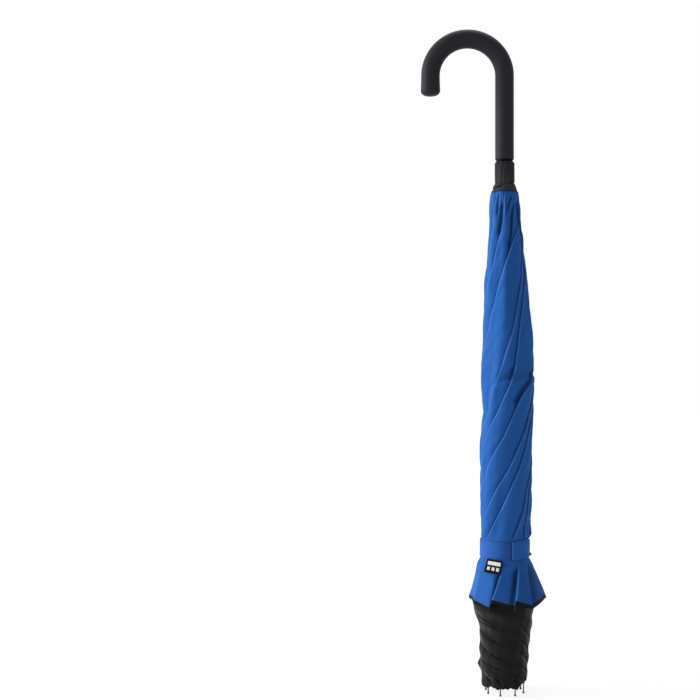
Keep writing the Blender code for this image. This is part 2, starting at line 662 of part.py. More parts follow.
def canopy_mesh():
    """One gore of the outer canopy near the rib tips, wrapped round the ribs with slanting creases."""
    outer, inner = [], []
    for i in range(CANOPY_ROWS + 1):
        height = CANOPY_HEM_HEIGHT + (CANOPY_TOP_HEIGHT - CANOPY_HEM_HEIGHT) * i / CANOPY_ROWS
        cover = rib_radius(height) + RIB_DEPTH / 2 + 2 * GAP
        if height < TIP_HEIGHT + TIP_SOCKET_LENGTH:
            cover = TIP_RING_RADIUS + TIP_SOCKET_DIAMETER / 2 + GAP
        outer_row, inner_row = [], []
        for j in range(GORE_COLUMNS + 1):
            turn = GORE_ANGLE * j / GORE_COLUMNS
            share = fold_share(turn, -height, CANOPY_FOLD_PITCH, -CANOPY_HEM_HEIGHT)
            radius = canopy_radius(height) - CANOPY_FOLD_DEPTH * share
            radius = max(radius, cover + CLOTH_GAP)
            edge = math.asin(CLOTH_GAP / 2 / radius)
            turn = min(max(turn, edge), GORE_ANGLE - edge)
            outer_row.append(polar(radius, turn, height))
            if j in (0, GORE_COLUMNS // 2, GORE_COLUMNS):
                inner_edge = math.asin(CLOTH_GAP / 2 / cover)
                inner_turn = min(max(turn, inner_edge), GORE_ANGLE - inner_edge)
                inner_row.append(polar(cover, inner_turn, height))
        outer.append(outer_row)
        inner.append(inner_row)
    return slab("canopy_gore", outer, inner)


def inner_mesh():
    """One gore of the canopy between the crown and the rib joints, lying between two stretchers."""
    low = CROWN_HEIGHT + CROWN_RISE + INNER_MARGIN
    high = JOINT_HEIGHT - INNER_MARGIN
    outer, inner = [], []
    for i in range(INNER_ROWS + 1):
        height = low + (high - low) * i / INNER_ROWS
        radius = STRETCHER_PIVOT_RADIUS + (height - CROWN_HEIGHT) * math.tan(STRETCHER_SLANT)
        before = (STRETCHER_OFFSET + STRETCHER_THICKNESS / 2 + CLOTH_GAP) / (radius - INNER_THICKNESS / 2)
        after = GORE_ANGLE - (RIB_WIDTH / 2 + 2 * CLOTH_GAP) / (radius - INNER_THICKNESS / 2)
        turns = [before + (after - before) * k / INNER_COLUMNS for k in range(INNER_COLUMNS + 1)]
        outer.append([polar(radius + INNER_THICKNESS / 2, turn, height) for turn in turns])
        inner.append([polar(radius - INNER_THICKNESS / 2, turn, height) for turn in turns])
    return slab("canopy_inner", outer, inner)


def band(name, start, end, steps, start_radius, end_radius):
    """A strap's strip from one direction to another, as its radius grows evenly."""
    low, high = STRAP_MIDDLE_HEIGHT - STRAP_WIDTH / 2, STRAP_MIDDLE_HEIGHT + STRAP_WIDTH / 2
    outer, inner = [], []
    for height in (high, low):
        turns = [start + (end - start) * k / steps for k in range(steps + 1)]
        radii = [start_radius + (end_radius - start_radius) * k / steps for k in range(steps + 1)]
        inner.append([polar(r, t, height) for r, t in zip(radii, turns)])
        outer.append([polar(r + STRAP_THICKNESS, t, height) for r, t in zip(radii, turns)])
    return slab(name, outer, inner)


def label_mesh():
    """The woven label: a thin tag whose top edge is at the origin."""
    half = LABEL_WIDTH / 2
    return block("woven_label", (-half, -LABEL_THICKNESS / 2, -LABEL_HEIGHT), (half, LABEL_THICKNESS / 2, 0))


def skirt_reach():
    """The furthest that the skirt reaches towards +X."""
    reach = 0
    for number in range(1, RIB_COUNT + 1):
        for vertex in bpy.data.meshes["lining_gore"].vertices:
            x, y, _ = vertex.co
            turn = rib_angle(number)
            reach = max(reach, x * math.cos(turn) - y * math.sin(turn))
    return reach


def build():
    """Models the whole umbrella."""
    for old in list(bpy.data.objects):
        bpy.data.objects.remove(old)
    for old in list(bpy.data.meshes):
        bpy.data.meshes.remove(old)
    soft_touch = colour("soft_touch_black", 0.020, 0.021, 0.024, 0.55)
    black_plastic = colour("black_plastic", 0.012, 0.012, 0.013, 0.35)
    steel = colour("plated_steel", 0.48, 0.49, 0.50, 0.3, 1.0)
    black_steel = colour("black_steel", 0.03, 0.03, 0.032, 0.35, 0.9)
    blue_cloth = colour("blue_cloth", 0.020, 0.095, 0.42, 0.75)
    black_cloth = colour("black_cloth", 0.012, 0.012, 0.013, 0.8)
    strap_cloth = colour("strap_cloth", 0.022, 0.105, 0.45, 0.72)
    label_cloth = colour("label_cloth", 0.01, 0.01, 0.011, 0.7)

    lining = lining_mesh()
    crook_reach = 2 * CROOK_RADIUS + HANDLE_DIAMETER / 2
    axis = empty("shaft_axis", None, ((crook_reach - skirt_reach()) / 2, 0, 0))
    carry(new_object("shaft_tube", shaft_mesh(), steel), axis)
    carry(new_object("handle_crook", crook_mesh(), soft_touch), axis)
    carry(new_object("crown", crown_mesh(), black_plastic), axis)
    carry(new_object("ferrule_cap", cap_mesh(), black_plastic), axis)
    catch = new_object("runner_catch", catch_mesh(), black_steel)
    carry(catch, axis, (0, 0, CATCH_BASE), (0, 0, CATCH_ANGLE))

    runner = empty("runner_slide", axis, (0, 0, 0))
    carry(new_object("runner_body", runner_mesh(), black_plastic), runner)
    carry(new_object("runner_collar", collar_mesh(), black_cloth), runner)
    carry(new_object("runner_sleeve", sleeve_mesh(), black_cloth), runner)

    rib, tip, stretcher = rib_mesh(), tip_mesh(), stretcher_mesh()
    canopy, inner = canopy_mesh(), inner_mesh()
    for number in range(1, RIB_COUNT + 1):
        turn = rib_angle(number)
        place = polar(RIB_PIVOT_RADIUS, turn, PIVOT_HEIGHT)
        rib_hinge = empty(f"rib_hinge_{number}", runner, place, (0, -RIB_SLANT, turn))
        carry(new_object(f"rib_{number}", rib, black_steel), rib_hinge)
        tip_place = polar(TIP_RING_RADIUS, turn, 0)
        carry(new_object(f"rib_tip_{number}", tip, steel), runner, tip_place, (0, 0, turn))
        side = Vector((-math.sin(turn), math.cos(turn), 0)) * STRETCHER_OFFSET
        place = polar(STRETCHER_PIVOT_RADIUS, turn, CROWN_HEIGHT) + side
        crown_hinge = empty(f"stretcher_hinge_{number}", axis, place, (0, STRETCHER_SLANT, turn))
        carry(new_object(f"stretcher_{number}", stretcher, black_steel), crown_hinge)
        carry(new_object(f"lining_gore_{number}", lining, blue_cloth), runner, rotation=(0, 0, turn))
        carry(new_object(f"canopy_gore_{number}", canopy, black_cloth), runner, rotation=(0, 0, turn))
        carry(new_object(f"canopy_inner_{number}", inner, black_cloth), axis, rotation=(0, 0, turn))

    turn_round = STRAP_SEWN_END_ANGLE + math.tau
    snug, lifted = STRAP_INNER_RADIUS, STRAP_INNER_RADIUS + FLAP_LIFT
    strap = band("closure_strap", STRAP_ROOT_ANGLE, turn_round, STRAP_STEPS, snug, snug)
    carry(new_object("closure_strap", strap, strap_cloth), axis)
    root = STRAP_ROOT_ANGLE - CLOTH_GAP / snug
    flap = band("strap_flap", STRAP_FREE_END_ANGLE, root, FLAP_STEPS, lifted, snug)
    flap_hinge = empty("strap_flap_hinge", axis, polar(snug, STRAP_ROOT_ANGLE, STRAP_MIDDLE_HEIGHT))
    flap.transform(Matrix.Translation(-flap_hinge.location))
    carry(new_object("strap_flap", flap, strap_cloth), flap_hinge)

    label_height = STRAP_MIDDLE_HEIGHT - STRAP_WIDTH / 2
    label_radius = STRAP_INNER_RADIUS + STRAP_THICKNESS + GAP + LABEL_THICKNESS / 2
    label = new_object("woven_label", label_mesh(), label_cloth)
    place = polar(label_radius, LABEL_ANGLE, label_height)
    turned_about = Matrix.Rotation(LABEL_ANGLE + math.pi / 2, 4, "Z")
    leaning = Matrix.Rotation(-LABEL_LEAN, 4, "X") @ Matrix.Rotation(LABEL_TURN, 4, "Y")
    carry(label, axis, place, (turned_about @ leaning).to_euler())
    loop_radius = STRAP_INNER_RADIUS + STRAP_THICKNESS + GAP
    loop = block("strap_loop", (loop_radius, -LOOP_LENGTH / 2, -LOOP_HEIGHT / 2),
                 (loop_radius + LOOP_THICKNESS, LOOP_LENGTH / 2, LOOP_HEIGHT / 2))
    loop_height = STRAP_MIDDLE_HEIGHT - STRAP_WIDTH / 2 + LOOP_HEIGHT / 2
    carry(new_object("strap_loop", loop, black_cloth), axis, (0, 0, loop_height), (0, 0, LOOP_ANGLE))


build()
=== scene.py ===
"""The looks of a reversible stick umbrella, closed, strapped and standing on its rib tips.

Metres, +Z up, crook handle on top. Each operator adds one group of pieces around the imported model.
"""

import math

import bpy
import numpy as np
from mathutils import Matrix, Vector


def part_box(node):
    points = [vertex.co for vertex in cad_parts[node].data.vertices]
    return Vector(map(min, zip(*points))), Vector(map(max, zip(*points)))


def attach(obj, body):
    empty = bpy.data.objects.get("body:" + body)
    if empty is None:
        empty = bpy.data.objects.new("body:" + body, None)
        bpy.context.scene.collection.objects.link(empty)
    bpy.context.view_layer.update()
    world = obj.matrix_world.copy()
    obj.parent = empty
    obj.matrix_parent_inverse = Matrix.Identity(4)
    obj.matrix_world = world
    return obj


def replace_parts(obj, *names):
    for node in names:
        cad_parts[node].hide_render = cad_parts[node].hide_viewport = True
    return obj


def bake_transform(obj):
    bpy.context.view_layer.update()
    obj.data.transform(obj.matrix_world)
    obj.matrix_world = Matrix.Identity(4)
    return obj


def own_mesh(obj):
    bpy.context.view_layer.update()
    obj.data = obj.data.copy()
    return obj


bl_info = {
    "name": "Reversible Umbrella",
    "version": (1, 0, 0),
    "blender": (4, 5, 0),
    "location": "View3D > Sidebar > Umbrella",
    "description": "Builds the cloth, handle, strap and stage of a closed reversible umbrella",
    "category": "Object",
}

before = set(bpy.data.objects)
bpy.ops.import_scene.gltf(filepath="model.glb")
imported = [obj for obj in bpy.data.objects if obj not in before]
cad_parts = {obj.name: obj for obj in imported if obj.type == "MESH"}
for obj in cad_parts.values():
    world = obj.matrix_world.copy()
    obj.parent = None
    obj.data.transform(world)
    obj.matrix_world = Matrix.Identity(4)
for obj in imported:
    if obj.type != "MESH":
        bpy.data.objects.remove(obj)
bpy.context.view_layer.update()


def middle_of(node):
    """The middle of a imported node's box."""
    low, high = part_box(node)
    return (low + high) / 2


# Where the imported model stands
AXIS = middle_of("shaft_tube")
RIBS = range(1, 9)
GORE_ANGLE = math.tau / len(RIBS)
CROWN_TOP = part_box("crown")[1].z
LINING_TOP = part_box("lining_gore_1")[1].z
CANOPY_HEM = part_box("canopy_gore_1")[0].z
CANOPY_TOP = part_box("runner_body")[0].z - 0.0085
JOINT_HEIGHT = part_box("stretcher_1")[1].z
INNER_TOP = JOINT_HEIGHT - 0.030
STRAP_LOW, STRAP_HIGH = (corner.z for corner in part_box("closure_strap"))
STRAP_RADIUS = (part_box("closure_strap")[1].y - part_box("closure_strap")[0].y) / 2

# The tables hold millimetres and degrees. Directions run from +X, and -97 faces the camera.

# The furled lining's outline: height, radius towards the right, radius towards the left
LINING_OUTLINE = (
    (100, 50.8, 46.2), (110, 50.2, 45.2), (120, 46.6, 42), (130, 42.4, 39.1), (140, 38.2, 36.4),
    (150, 33.6, 33), (156, 29.8, 29.4), (159.4, 27.7, 27.7), (179.7, 27.7, 27.7), (185, 28.8, 27.8),
    (197, 28.2, 28), (211, 29.9, 28.4), (225, 30.5, 28.7), (239, 29.8, 28.4), (254, 30.5, 28.2),
    (268, 31.2, 28.5), (290, 30.8, 29.1), (310, 31, 27.7), (329, 32, 24.6), (348, 33.1, 26),
    (364, 33.9, 27.2), (372, 33.3, 27.5), (386, 33.5, 27.1), (404, 33.8, 25), (423, 32.5, 24.8),
    (442, 29.2, 24.3), (461, 27, 23.3), (480, 25.4, 23), (498, 23, 21.2), (517, 21.6, 19.7),
    (536, 21.1, 18), (555, 18, 17.2), (574, 16.9, 17), (580, 16.8, 16.4), (585, 16, 15.2),
    (587, 15.6, 14.7),
)

# The edges of the wound folds, from the neck down to the strap: height, direction
FOLD_EDGES = (
    ((590, 2), (560, -19), (538, -58), (521, -79), (508, -91), (494, -102), (476, -116), (461, -124),
     (420, -150), (380, -180), (300, -262), (178, -384)),
    ((590, 26), (560, 14), (540, 0), (500, -27), (461, -59), (427, -77), (398, -96), (381, -104),
     (350, -130), (300, -182), (178, -304)),
    ((590, 42), (540, 20), (500, -10), (460, -41), (427, -62), (378, -76), (365, -85), (346, -100),
     (329, -116), (318, -129), (300, -147), (178, -269)),
    ((590, 111), (540, 94), (500, 70), (450, 36), (400, 4), (378, -10), (370, -23), (360, -43), (346, -60),
     (322, -82), (301, -100), (288, -117), (250, -155), (178, -227)),
    ((590, 150), (540, 132), (460, 84), (380, 24), (325, -31), (292, -64), (266, -87), (249, -108),
     (209, -150), (178, -181)),
    ((590, 176), (540, 159), (460, 108), (380, 48), (304, -31), (265, -64), (241, -85), (218, -106),
     (188, -138), (178, -149)),
    ((590, 229), (540, 211), (460, 163), (380, 103), (300, 23), (247, -30), (206, -56), (189, -73),
     (178, -82)),
    ((590, 267), (569, 260), (533, 243), (460, 196), (380, 130), (300, 45), (238, -23), (189, -40),
     (178, -44)),
)

# The skirt below the strap: its fold edges by height and direction, the directions of its corners, and
# its hem by direction and height
SKIRT_EDGES = (
    ((160, -100), (145, -104), (115, -117), (100, -122)),
    ((160, -67), (140, -73), (115, -82), (100, -84)),
    ((160, 42), (100, 50)),
    ((160, 76), (100, 88)),
    ((160, 132), (100, 122)),
)
SKIRT_CORNERS = (-210, -150, -117, -82, -57, -4, 50, 88, 122, 150)
HEM_HEIGHTS = (
    (-180, 109), (-165, 109.8), (-143, 106.8), (-124, 102.6), (-118.5, 102), (-116.5, 112.2), (-100, 109),
    (-84, 105.4), (-82.6, 105.1), (-81, 112.1), (-64, 107.2), (-56, 105), (-30, 108.8), (-12, 111.2),
    (-4, 111.2), (25, 107), (48, 104.5), (51, 112), (86, 105), (89, 112), (121, 105), (124, 111),
    (155, 106.5), (180, 109),
)

# The outer canopy near the tips: its outline as above, the height, direction and size of a small nub, and
# how far its hem is drawn up by direction
CANOPY_OUTLINE = (
    (0, 25.2, 26.4), (11, 25.6, 26.8), (18, 26, 26.6), (27.6, 26.8, 28), (36.6, 27.4, 29),
    (45.6, 27.9, 28.9), (55.6, 28.8, 29), (74.6, 30.8, 29.3), (84, 32.2, 31.2), (93.6, 33, 35),
    (98.1, 33.3, 36.8), (108, 33.6, 37.2), (125, 30, 31), (142, 25.5, 25.5), (160, 22.5, 22.5),
)
CANOPY_NUB = (32.5, 172, 2.2)
CANOPY_RISE = ((-180, 0), (-64, 0), (-50, 3.4), (-24, 7), (4, 6), (40, 2), (70, 0), (180, 0))

# Creases and hollows of the canopy, under the collar, in the collar, by the level lap and in the skirt:
# width, depth, then heights and directions; a width below 0 lies to the right of its line
CANOPY_LINES = (
    (6.4, 1.5, (97.5, -172), (90, -140), (82, -104)),
    (6.4, 1.6, (90.5, -192), (86.6, -160), (81.8, -119), (77, -92)),
    (7.4, 2, (80, -190), (72, -150), (62.2, -106), (56, -80)),
    (7.4, 2, (61.2, -190), (54, -148), (45.2, -107), (39, -78)),
    (7, 1.8, (43, -190), (38.8, -150), (33.4, -109), (29, -86)),
    (5, 1.4, (25, -186), (21.5, -150), (16, -112)), (5.6, 1.5, (90, -68), (74, -36), (62, -6)),
    (5.6, 1.6, (72, -66), (57.5, -32), (46, -4)), (6, 1.8, (57.5, -68), (44.5, -33), (33, -4)),
    (5, 1.6, (43, -70), (32, -38), (22, -10)), (4.6, 1.4, (30, -74), (20, -44), (12, -18)),
    *((3.2, 2, (22.2, place), (18, place + 5), (13.4, place + 14))
      for place in (-145, -114, -72, -30, 15, 60, 105, 150)),
    *((6.6, 1.7, (100 - 17 * step, -6), (85 - 17 * step, 78), (69 - 17 * step, 166)) for step in range(6)),
)
NECK_LINES = (
    (4.6, 2.9, (578, -101), (568, -100), (552, -102), (541, -109), (528, -121)),
    (3.8, 2.6, (579, -50), (572, -52), (554, -61), (536, -68), (524, -77), (510, -88)),
    (3, 1.1, (588, -116), (569, -122), (554, -127)),
    (3.6, 1.1, (585, -56), (575, -69), (566, -80), (559, -86)),
    (2.2, 0.9, (578, -151), (560, -154), (534, -157)),
    (5.5, 2.4, (584, -25), (560, -18), (540, -14), (518, -12)), (3.6, 2, (583, 12), (562, 6), (530, -4)),
    (4, 2.2, (583, 48), (556, 40), (524, 28)), (3.6, 1.8, (583, 84), (560, 78), (534, 68)),
    (4.2, 2.2, (583, 118), (550, 108), (518, 98)), (3.6, 1.8, (583, 150), (556, 144), (528, 134)),
    (3, 1.5, (583, 178), (562, 174), (538, 166)),
)
COLLAR_LINES = (
    (6, 2.6, (594.6, -96), (593, -115), (591.4, -136), (589.2, -172)),
    (6, 1.4, (597.8, -58), (595.8, -42), (594, -22)),
)
LAP_LINES = (
    (11, 2, (385, -3), (370, -20), (359, -41), (345, -59), (330, -74)),
    (5.5, 1.3, (384, -73), (374, -78), (365.5, -84)),
)
SKIRT_LINES = (
    (5, 2.4, (158, -64), (140, -73.5), (115, -82), (98, -84)),
    (-17, 5.2, (159, -28), (150, -41), (139, -49), (122, -54.5), (101, -57.5)),
    (4, 1.4, (150, -103), (130, -111), (106, -119)), (5, 2.6, (157, 42), (103, 49)),
    (5, 2.6, (157, 78), (103, 87)), (-5, 2.4, (157, 140), (103, 151)),
)

# Where the wound layers end in a level lap half way up: direction, height, and the lap's two ends
LAP_EDGE = (
    (-150, 356.5), (-135, 357.2), (-118, 360), (-100, 363.2), (-82, 366.8), (-45, 369), (-10, 370.5),
    (20, 370.5),
)
LAP_START, LAP_END = -128, 14

# Each gore's cloth: its slot, the solid it stands for, how it is held, the bar it rests on, the bodies
# at its two edges, and how far from the shaft it passes between them
GORES = {
    "lining_cloth": ("lining_cloth", "lining_gore", "hung", "rib", "rib_arm", "gore", 0.0150),
    "canopy_cloth": ("canopy_cloth", "canopy_gore", "hung", "rib", "rib_arm", "gore", 0.0112),
    "inner_cloth": ("canopy_cloth", "canopy_inner", "gathered", "stretcher", "stretcher_arm", "inner_gore",
                    0.0100),
}

# Sizes in metres
EDGE_DROP = 0.0024  # from a drawn fold edge down to the lip that shows
SKIRT_FOOT = 0.102  # the hem's lowest point
RIPPLE_SIZE = 0.0012
LAP_SIZE = 0.0011
PUCKER_SIZE = 0.0004
RUNNER_BORE = 0.0089
COLLAR_TOP, COLLAR_MEAN = 0.0123, 0.0130
HANDLE_BORE = 0.0063
STRAP_THICKNESS = 0.0009
LABEL_WIDTH, LABEL_HEIGHT, LABEL_THICKNESS = 0.0203, 0.0162, 0.0005
TIP_BALL, TIP_ROD, TIP_LENGTH, TIP_BALL_RISE = 0.0014, 0.00075, 0.008, 0.0010

# Shares
NECK_SLIM = 0.40  # how much shallower the folds are at the neck
SKIRT_FLATNESS = 0.85  # 1 would make the skirt's panels flat
# painted shade: shares that darken the cloth's colour over the lap and under the collar
LAP_SHADE, COLLAR_SHADE = 0.42, 0.8  # how dark the cloth is over the lap and under the collar
HEM_STRETCH = 1.15  # the hem's slanted length over its height

PLASTIC_BLACK = (0.012, 0.012, 0.013)


def length_setting(name, text, default):
    """A setting in metres."""
    return bpy.props.FloatProperty(name=name, description=text, default=default, unit="LENGTH")


def number_setting(name, text, default):
    """A setting without a unit."""
    return bpy.props.FloatProperty(name=name, description=text, default=default)


def colour_setting(name, text, default):
    """A colour."""
    return bpy.props.FloatVectorProperty(name=name, description=text, default=default, subtype="COLOR")


class StageSettings(bpy.types.PropertyGroup):
    """The floor, the lamps and the camera."""

    camera_distance: length_setting("Camera distance", "From the lens to the shaft", 1.5)
    camera_height: length_setting("Camera height", "Of the lens above the floor", 0.4016)
    camera_aside: length_setting("Camera aside", "How far left of the shaft the lens stands", 0.1817)
    lens: number_setting("Lens", "Focal length in millimetres", 65.6)
    floor_size: length_setting("Floor size", "Half the width of the floor", 6.0)
    floor_colour: colour_setting("Floor colour", "Colour of the floor", (0.9, 0.9, 0.9))
    key_power: number_setting("Key lamp", "Power of the large lamp at the left, in watts", 59.0)
    fill_power: number_setting("Fill lamp", "Power of the lamp at the right, in watts", 5.0)
    top_power: number_setting("Top lamp", "Power of the lamp above, in watts", 13.0)
    surround: number_setting("Surround", "Strength of the even light from all round", 0.21)


class ClothSettings(bpy.types.PropertyGroup):
    """The furled cloth."""

    lining_colour: colour_setting("Lining colour", "Colour of the lining", (0.0196, 0.1235, 0.4480))
    canopy_colour: colour_setting("Canopy colour", "Colour of the outer canopy", (0.0150, 0.0148, 0.0152))
    thickness: length_setting("Thickness", "Thickness of the cloth", 0.0003)
    fold_depth: length_setting("Fold depth", "How far a wound fold stands over its neighbour", 0.0029)
    skirt_depth: length_setting("Skirt depth", "How far a skirt's fold stands over its neighbour", 0.0036)
    inner_sag: length_setting("Inner sag", "How far the inner canopy's edge dips between two ribs", 0.073)
    # painted shade on the skirt's middle panels, which face down
    skirt_painted_shade: number_setting("Skirt shade", "How much darker the skirt's middle panels are", 0.38)
    pleat_depth: length_setting("Pleat depth", "Depth of the pleats under the collar", 0.0005)
    pleat_length: length_setting("Pleat length", "How far the pleats run down", 0.06)
    hem_width: length_setting("Hem width", "Width of the binding on the lining's hem", 0.0054)
    neck_drop: length_setting("Neck drop", "How far the lining's top sinks under the collar", 0.0022)
    columns: bpy.props.IntProperty(name="Columns", description="Faces across one gore", default=64)
    rows: bpy.props.IntProperty(name="Rows", description="Faces down one gore", default=460)


class HandleSettings(bpy.types.PropertyGroup):
    """The crook handle."""

    colour: colour_setting("Handle colour", "Colour of the soft coating", (0.0190, 0.0184, 0.0230))
    crook_drop: length_setting("Crook drop", "How far the free end hangs below the arch's centre", 0.0236)
    end_round: length_setting("End rounding", "Length of the rounded free end", 0.0065)
    end_bulge: length_setting("End bulge", "How much the free end swells", 0.0005)


class StrapSettings(bpy.types.PropertyGroup):
    """The closing strap and the woven label."""

    colour: colour_setting("Strap colour", "Colour of the strap", (0.0170, 0.1160, 0.4560))
    label_colour: colour_setting("Label colour", "Ground of the woven label", (0.0030, 0.0030, 0.0036))
    label_thread: colour_setting("Label thread", "Thread of the label's bars", (0.86, 0.88, 0.88))
    flap_rise: length_setting("Free end rise", "How far the free end's middle climbs", 0.0016)
    edge_stitch: length_setting("Edge stitch", "From the strap's edge to its stitches", 0.0018)


class Wire:
    """A socket's value in a node tree, on which sums are written as plain expressions."""

    def __init__(self, nodes, socket):
        self.nodes, self.socket = nodes, socket

    def math(self, operation, *values):
        """A Math node on this value and others."""
        return self.nodes.node("ShaderNodeMath", {"operation": operation}, dict(enumerate((self, *values))))

    def __add__(self, other):
        return self.math("ADD", other)

    def __sub__(self, other):
        return self.math("SUBTRACT", other)

    def __rsub__(self, other):
        return (self * -1) + other

    def __mul__(self, other):
        return self.math("MULTIPLY", other)

    def __gt__(self, other):
        return self.math("GREATER_THAN", other)

    def __lt__(self, other):
        return self.math("LESS_THAN", other)

    __radd__ = __add__
    __rmul__ = __mul__

    def sine(self):
        return self.math("SINE")

    def distance(self):
        return self.math("ABSOLUTE")

    def remainder(self, size):
        return self.math("FLOORED_MODULO", size)


class Nodes:
    """A node tree and a short way to add nodes to it."""

    def __init__(self, tree):
        self.tree = tree

    def node(self, kind, settings=None, inputs=None, output=0):
        """Adds a node: its settings first, then the values or links of its sockets."""
        made = self.tree.nodes.new(kind)
        for name, value in (settings or {}).items():
            setattr(made, name, value)
        for key, value in (inputs or {}).items():
            self.feed(made.inputs[key], value)
        return Wire(self, made.outputs[output])

    def feed(self, socket, value):
        """Links a wire to a socket, or sets the socket's own value."""
        if isinstance(value, Wire):
            self.tree.links.new(value.socket, socket)
        else:
            socket.default_value = value

    def seen(self):
        """1 for a ray from the camera, a mirror or glass, and 0 for the light that falls on things."""
        camera, glossy, through = (
            self.node("ShaderNodeLightPath", output=f"Is {kind} Ray")
            for kind in ("Camera", "Glossy", "Transmission"))
        return (camera + glossy + through).math("MINIMUM", 1.0)


class Shader(Nodes):
    """A material with a Principled surface."""

    def __init__(self, name, **constants):
        self.material = bpy.data.materials.new(name)
        self.material.use_nodes = True
        super().__init__(self.material.node_tree)
        self.surface = self.tree.nodes["Principled BSDF"]
        for socket, value in constants.items():
            self.set(socket.replace("_", " "), value)

    def set(self, name, value):
        """Feeds one of the surface's sockets, with colours given as three numbers."""
        if isinstance(value, (tuple, list)) and len(value) == 3:
            value = (*value, 1)
        self.feed(self.surface.inputs[name], value)

    def object_place(self, scale=(1, 1, 1)):
        """The place on the object, stretched along each direction."""
        place = self.node("ShaderNodeTexCoord", output="Object")
        return self.node("ShaderNodeMapping", None, {"Vector": place, "Scale": scale})

    def cloth_place(self):
        """The place on the cloth in metres: both together, across, and along."""
        place = self.node("ShaderNodeUVMap", {"uv_map": "cloth"})
        split = self.tree.nodes.new("ShaderNodeSeparateXYZ")
        self.feed(split.inputs[0], place)
        return place, Wire(self, split.outputs[0]), Wire(self, split.outputs[1])

    def attribute(self, name):
        """A number kept with each point of the mesh."""
        return self.node("ShaderNodeAttribute", {"attribute_name": name}, output="Fac")

    def noise(self, place, scale, detail=2.0, roughness=0.5):
        """Soft noise from 0 to 1."""
        return self.node("ShaderNodeTexNoise", None, {
            "Vector": place, "Scale": scale, "Detail": detail, "Roughness": roughness})

    def mix(self, factor, first, second):
        """A colour between two others."""
        pair = [(*c, 1) if isinstance(c, tuple) else c for c in (first, second)]
        return self.node("ShaderNodeMix", {"data_type": "RGBA"}, {0: factor, 6: pair[0], 7: pair[1]}, 2)

    def step(self, value, low, high):
        """A soft step from 0 to 1 between two values."""
        return self.node("ShaderNodeMapRange", {"interpolation_type": "SMOOTHSTEP"}, {
            "Value": value, "From Min": low, "From Max": high})

    def mottled(self, cloud, colour, dark, light):
        """A colour that varies with a cloud between a darker and a lighter share of itself."""
        return self.mix(cloud, shade(colour, dark), shade(colour, light))

    def with_painted_light(self, tint, colour, highlight_share, highlight_scale, highlight_white, crease_share, crease_shade):
        """Painted light on a colour: a painted highlight on the cloth's lips and painted shade in its
        creases, read from the number kept with each point.
        """
        painted_light = self.attribute("painted_light")
        pale = tuple(part + highlight_white * (1 - part) for part in shade(colour, highlight_scale))
        tint = self.mix(self.step(painted_light, 0.05, 1.0) * highlight_share, tint, pale)
        return self.mix(self.step(painted_light * -1, 0.02, 1.0) * crease_share, tint, shade(colour, crease_shade))

    def finished(self, tint, roughness, relief):
        """The material with its colour, roughness, and relief from a height in metres."""
        self.set("Base Color", tint)
        self.set("Roughness", roughness)
        self.set("Normal", self.node("ShaderNodeBump", None, {
            "Height": relief, "Strength": 1.0, "Distance": 1.0}))
        return self.material


def shade(colour, share):
    """A colour made lighter or darker by a share."""
    return tuple(part * share for part in colour)


def weave(across, along, pitch):
    """Plain weave from -1 to 1: the product of two sine waves, one across and one along."""
    turn = math.tau / pitch
    return (across * turn).sine() * (along * turn).sine()


def dashes(run, off, width, length):
    """A row of stitches: 1 where off is within half a width of 0 and run is in the first part of a stitch."""
    return (off.distance() < width / 2) * (run.remainder(length) < length * 0.72)


def cloth_material(name, colour, hem_colour=None, hem_width=0.0, sheen=0.015, rough=0.66, gloss=0.09):
    """Pongee cloth: a fine plain weave, soft crinkles and a bound hem, with painted highlights on the fold
    edges and painted shade in the creases.
    """
    shader = Shader(name, Sheen_Weight=sheen, Sheen_Roughness=0.4, Specular_IOR_Level=gloss)
    place, across, along = shader.cloth_place()
    blotch = shader.noise(place, 38.0, 3.0)
    crinkle = shader.noise(place, 210.0, 3.0, 0.62)
    threads = weave(across, along, 0.00042)
    tint = shader.mottled(blotch, colour, 0.86, 1.14)
    tint = shader.mix(threads * 0.12 + 0.5, shade(colour, 0.80), tint)
    # painted highlights on the fold lips, painted shade in the creases and hollows
    tint = shader.with_painted_light(tint, colour, 0.55, 1.6, 0.10, 0.76, 0.22)
    relief = threads * 0.000012 + crinkle * 0.00022 + blotch * 0.0006
    if hem_colour is not None:
        hem = shader.attribute("hem")
        bound = shader.step(hem, hem_width, hem_width - 0.0002)
        stitch = dashes(across, hem - (hem_width - 0.0006), 0.0003, 0.0026) * bound
        tint = shader.mix(bound, tint, hem_colour)
        tint = shader.mix(stitch, tint, shade(hem_colour, 2.6))
        relief = relief + bound * 0.0004 - stitch * 0.0003
    return shader.finished(tint, blotch * 0.10 + (rough - 0.05), relief)


def strap_material(name, colour, low, high, edge):
    """The strap's cloth: a tight rib weave across, a row of stitches along each edge with painted shade in
    the groove beside it, and painted highlights and painted shade from the number kept with each point.
    """
    shader = Shader(name, Sheen_Weight=0.05, Sheen_Roughness=0.4, Specular_IOR_Level=0.14)
    place, across, along = shader.cloth_place()
    blotch = shader.noise(place, 60.0, 2.0)
    threads = weave(across, along, 0.00055)
    off = (along - (low + high) / 2).distance() - ((high - low) / 2 - edge)
    stitch = dashes(across, off, 0.00034, 0.0024)
    # painted shade in the groove along each row of stitches
    stitch_groove_shade = shader.step(off.distance(), 0.0011, 0.0002)
    tint = shader.mottled(blotch, colour, 0.90, 1.12)
    tint = shader.mix(threads * 0.15 + 0.5, shade(colour, 0.82), tint)
    tint = shader.mix(stitch_groove_shade * 0.22, tint, shade(colour, 0.55))
    tint = shader.mix(stitch, tint, shade(colour, 1.25))
    # painted highlight on the free end's edge, painted shade on the band under it
    tint = shader.with_painted_light(tint, colour, 0.4, 1.5, 0.12, 0.8, 0.25)
    relief = threads * 0.00002 + blotch * 0.0004 + stitch * 0.00012 - stitch_groove_shade * 0.00015
    return shader.finished(tint, blotch * 0.10 + 0.55, relief)


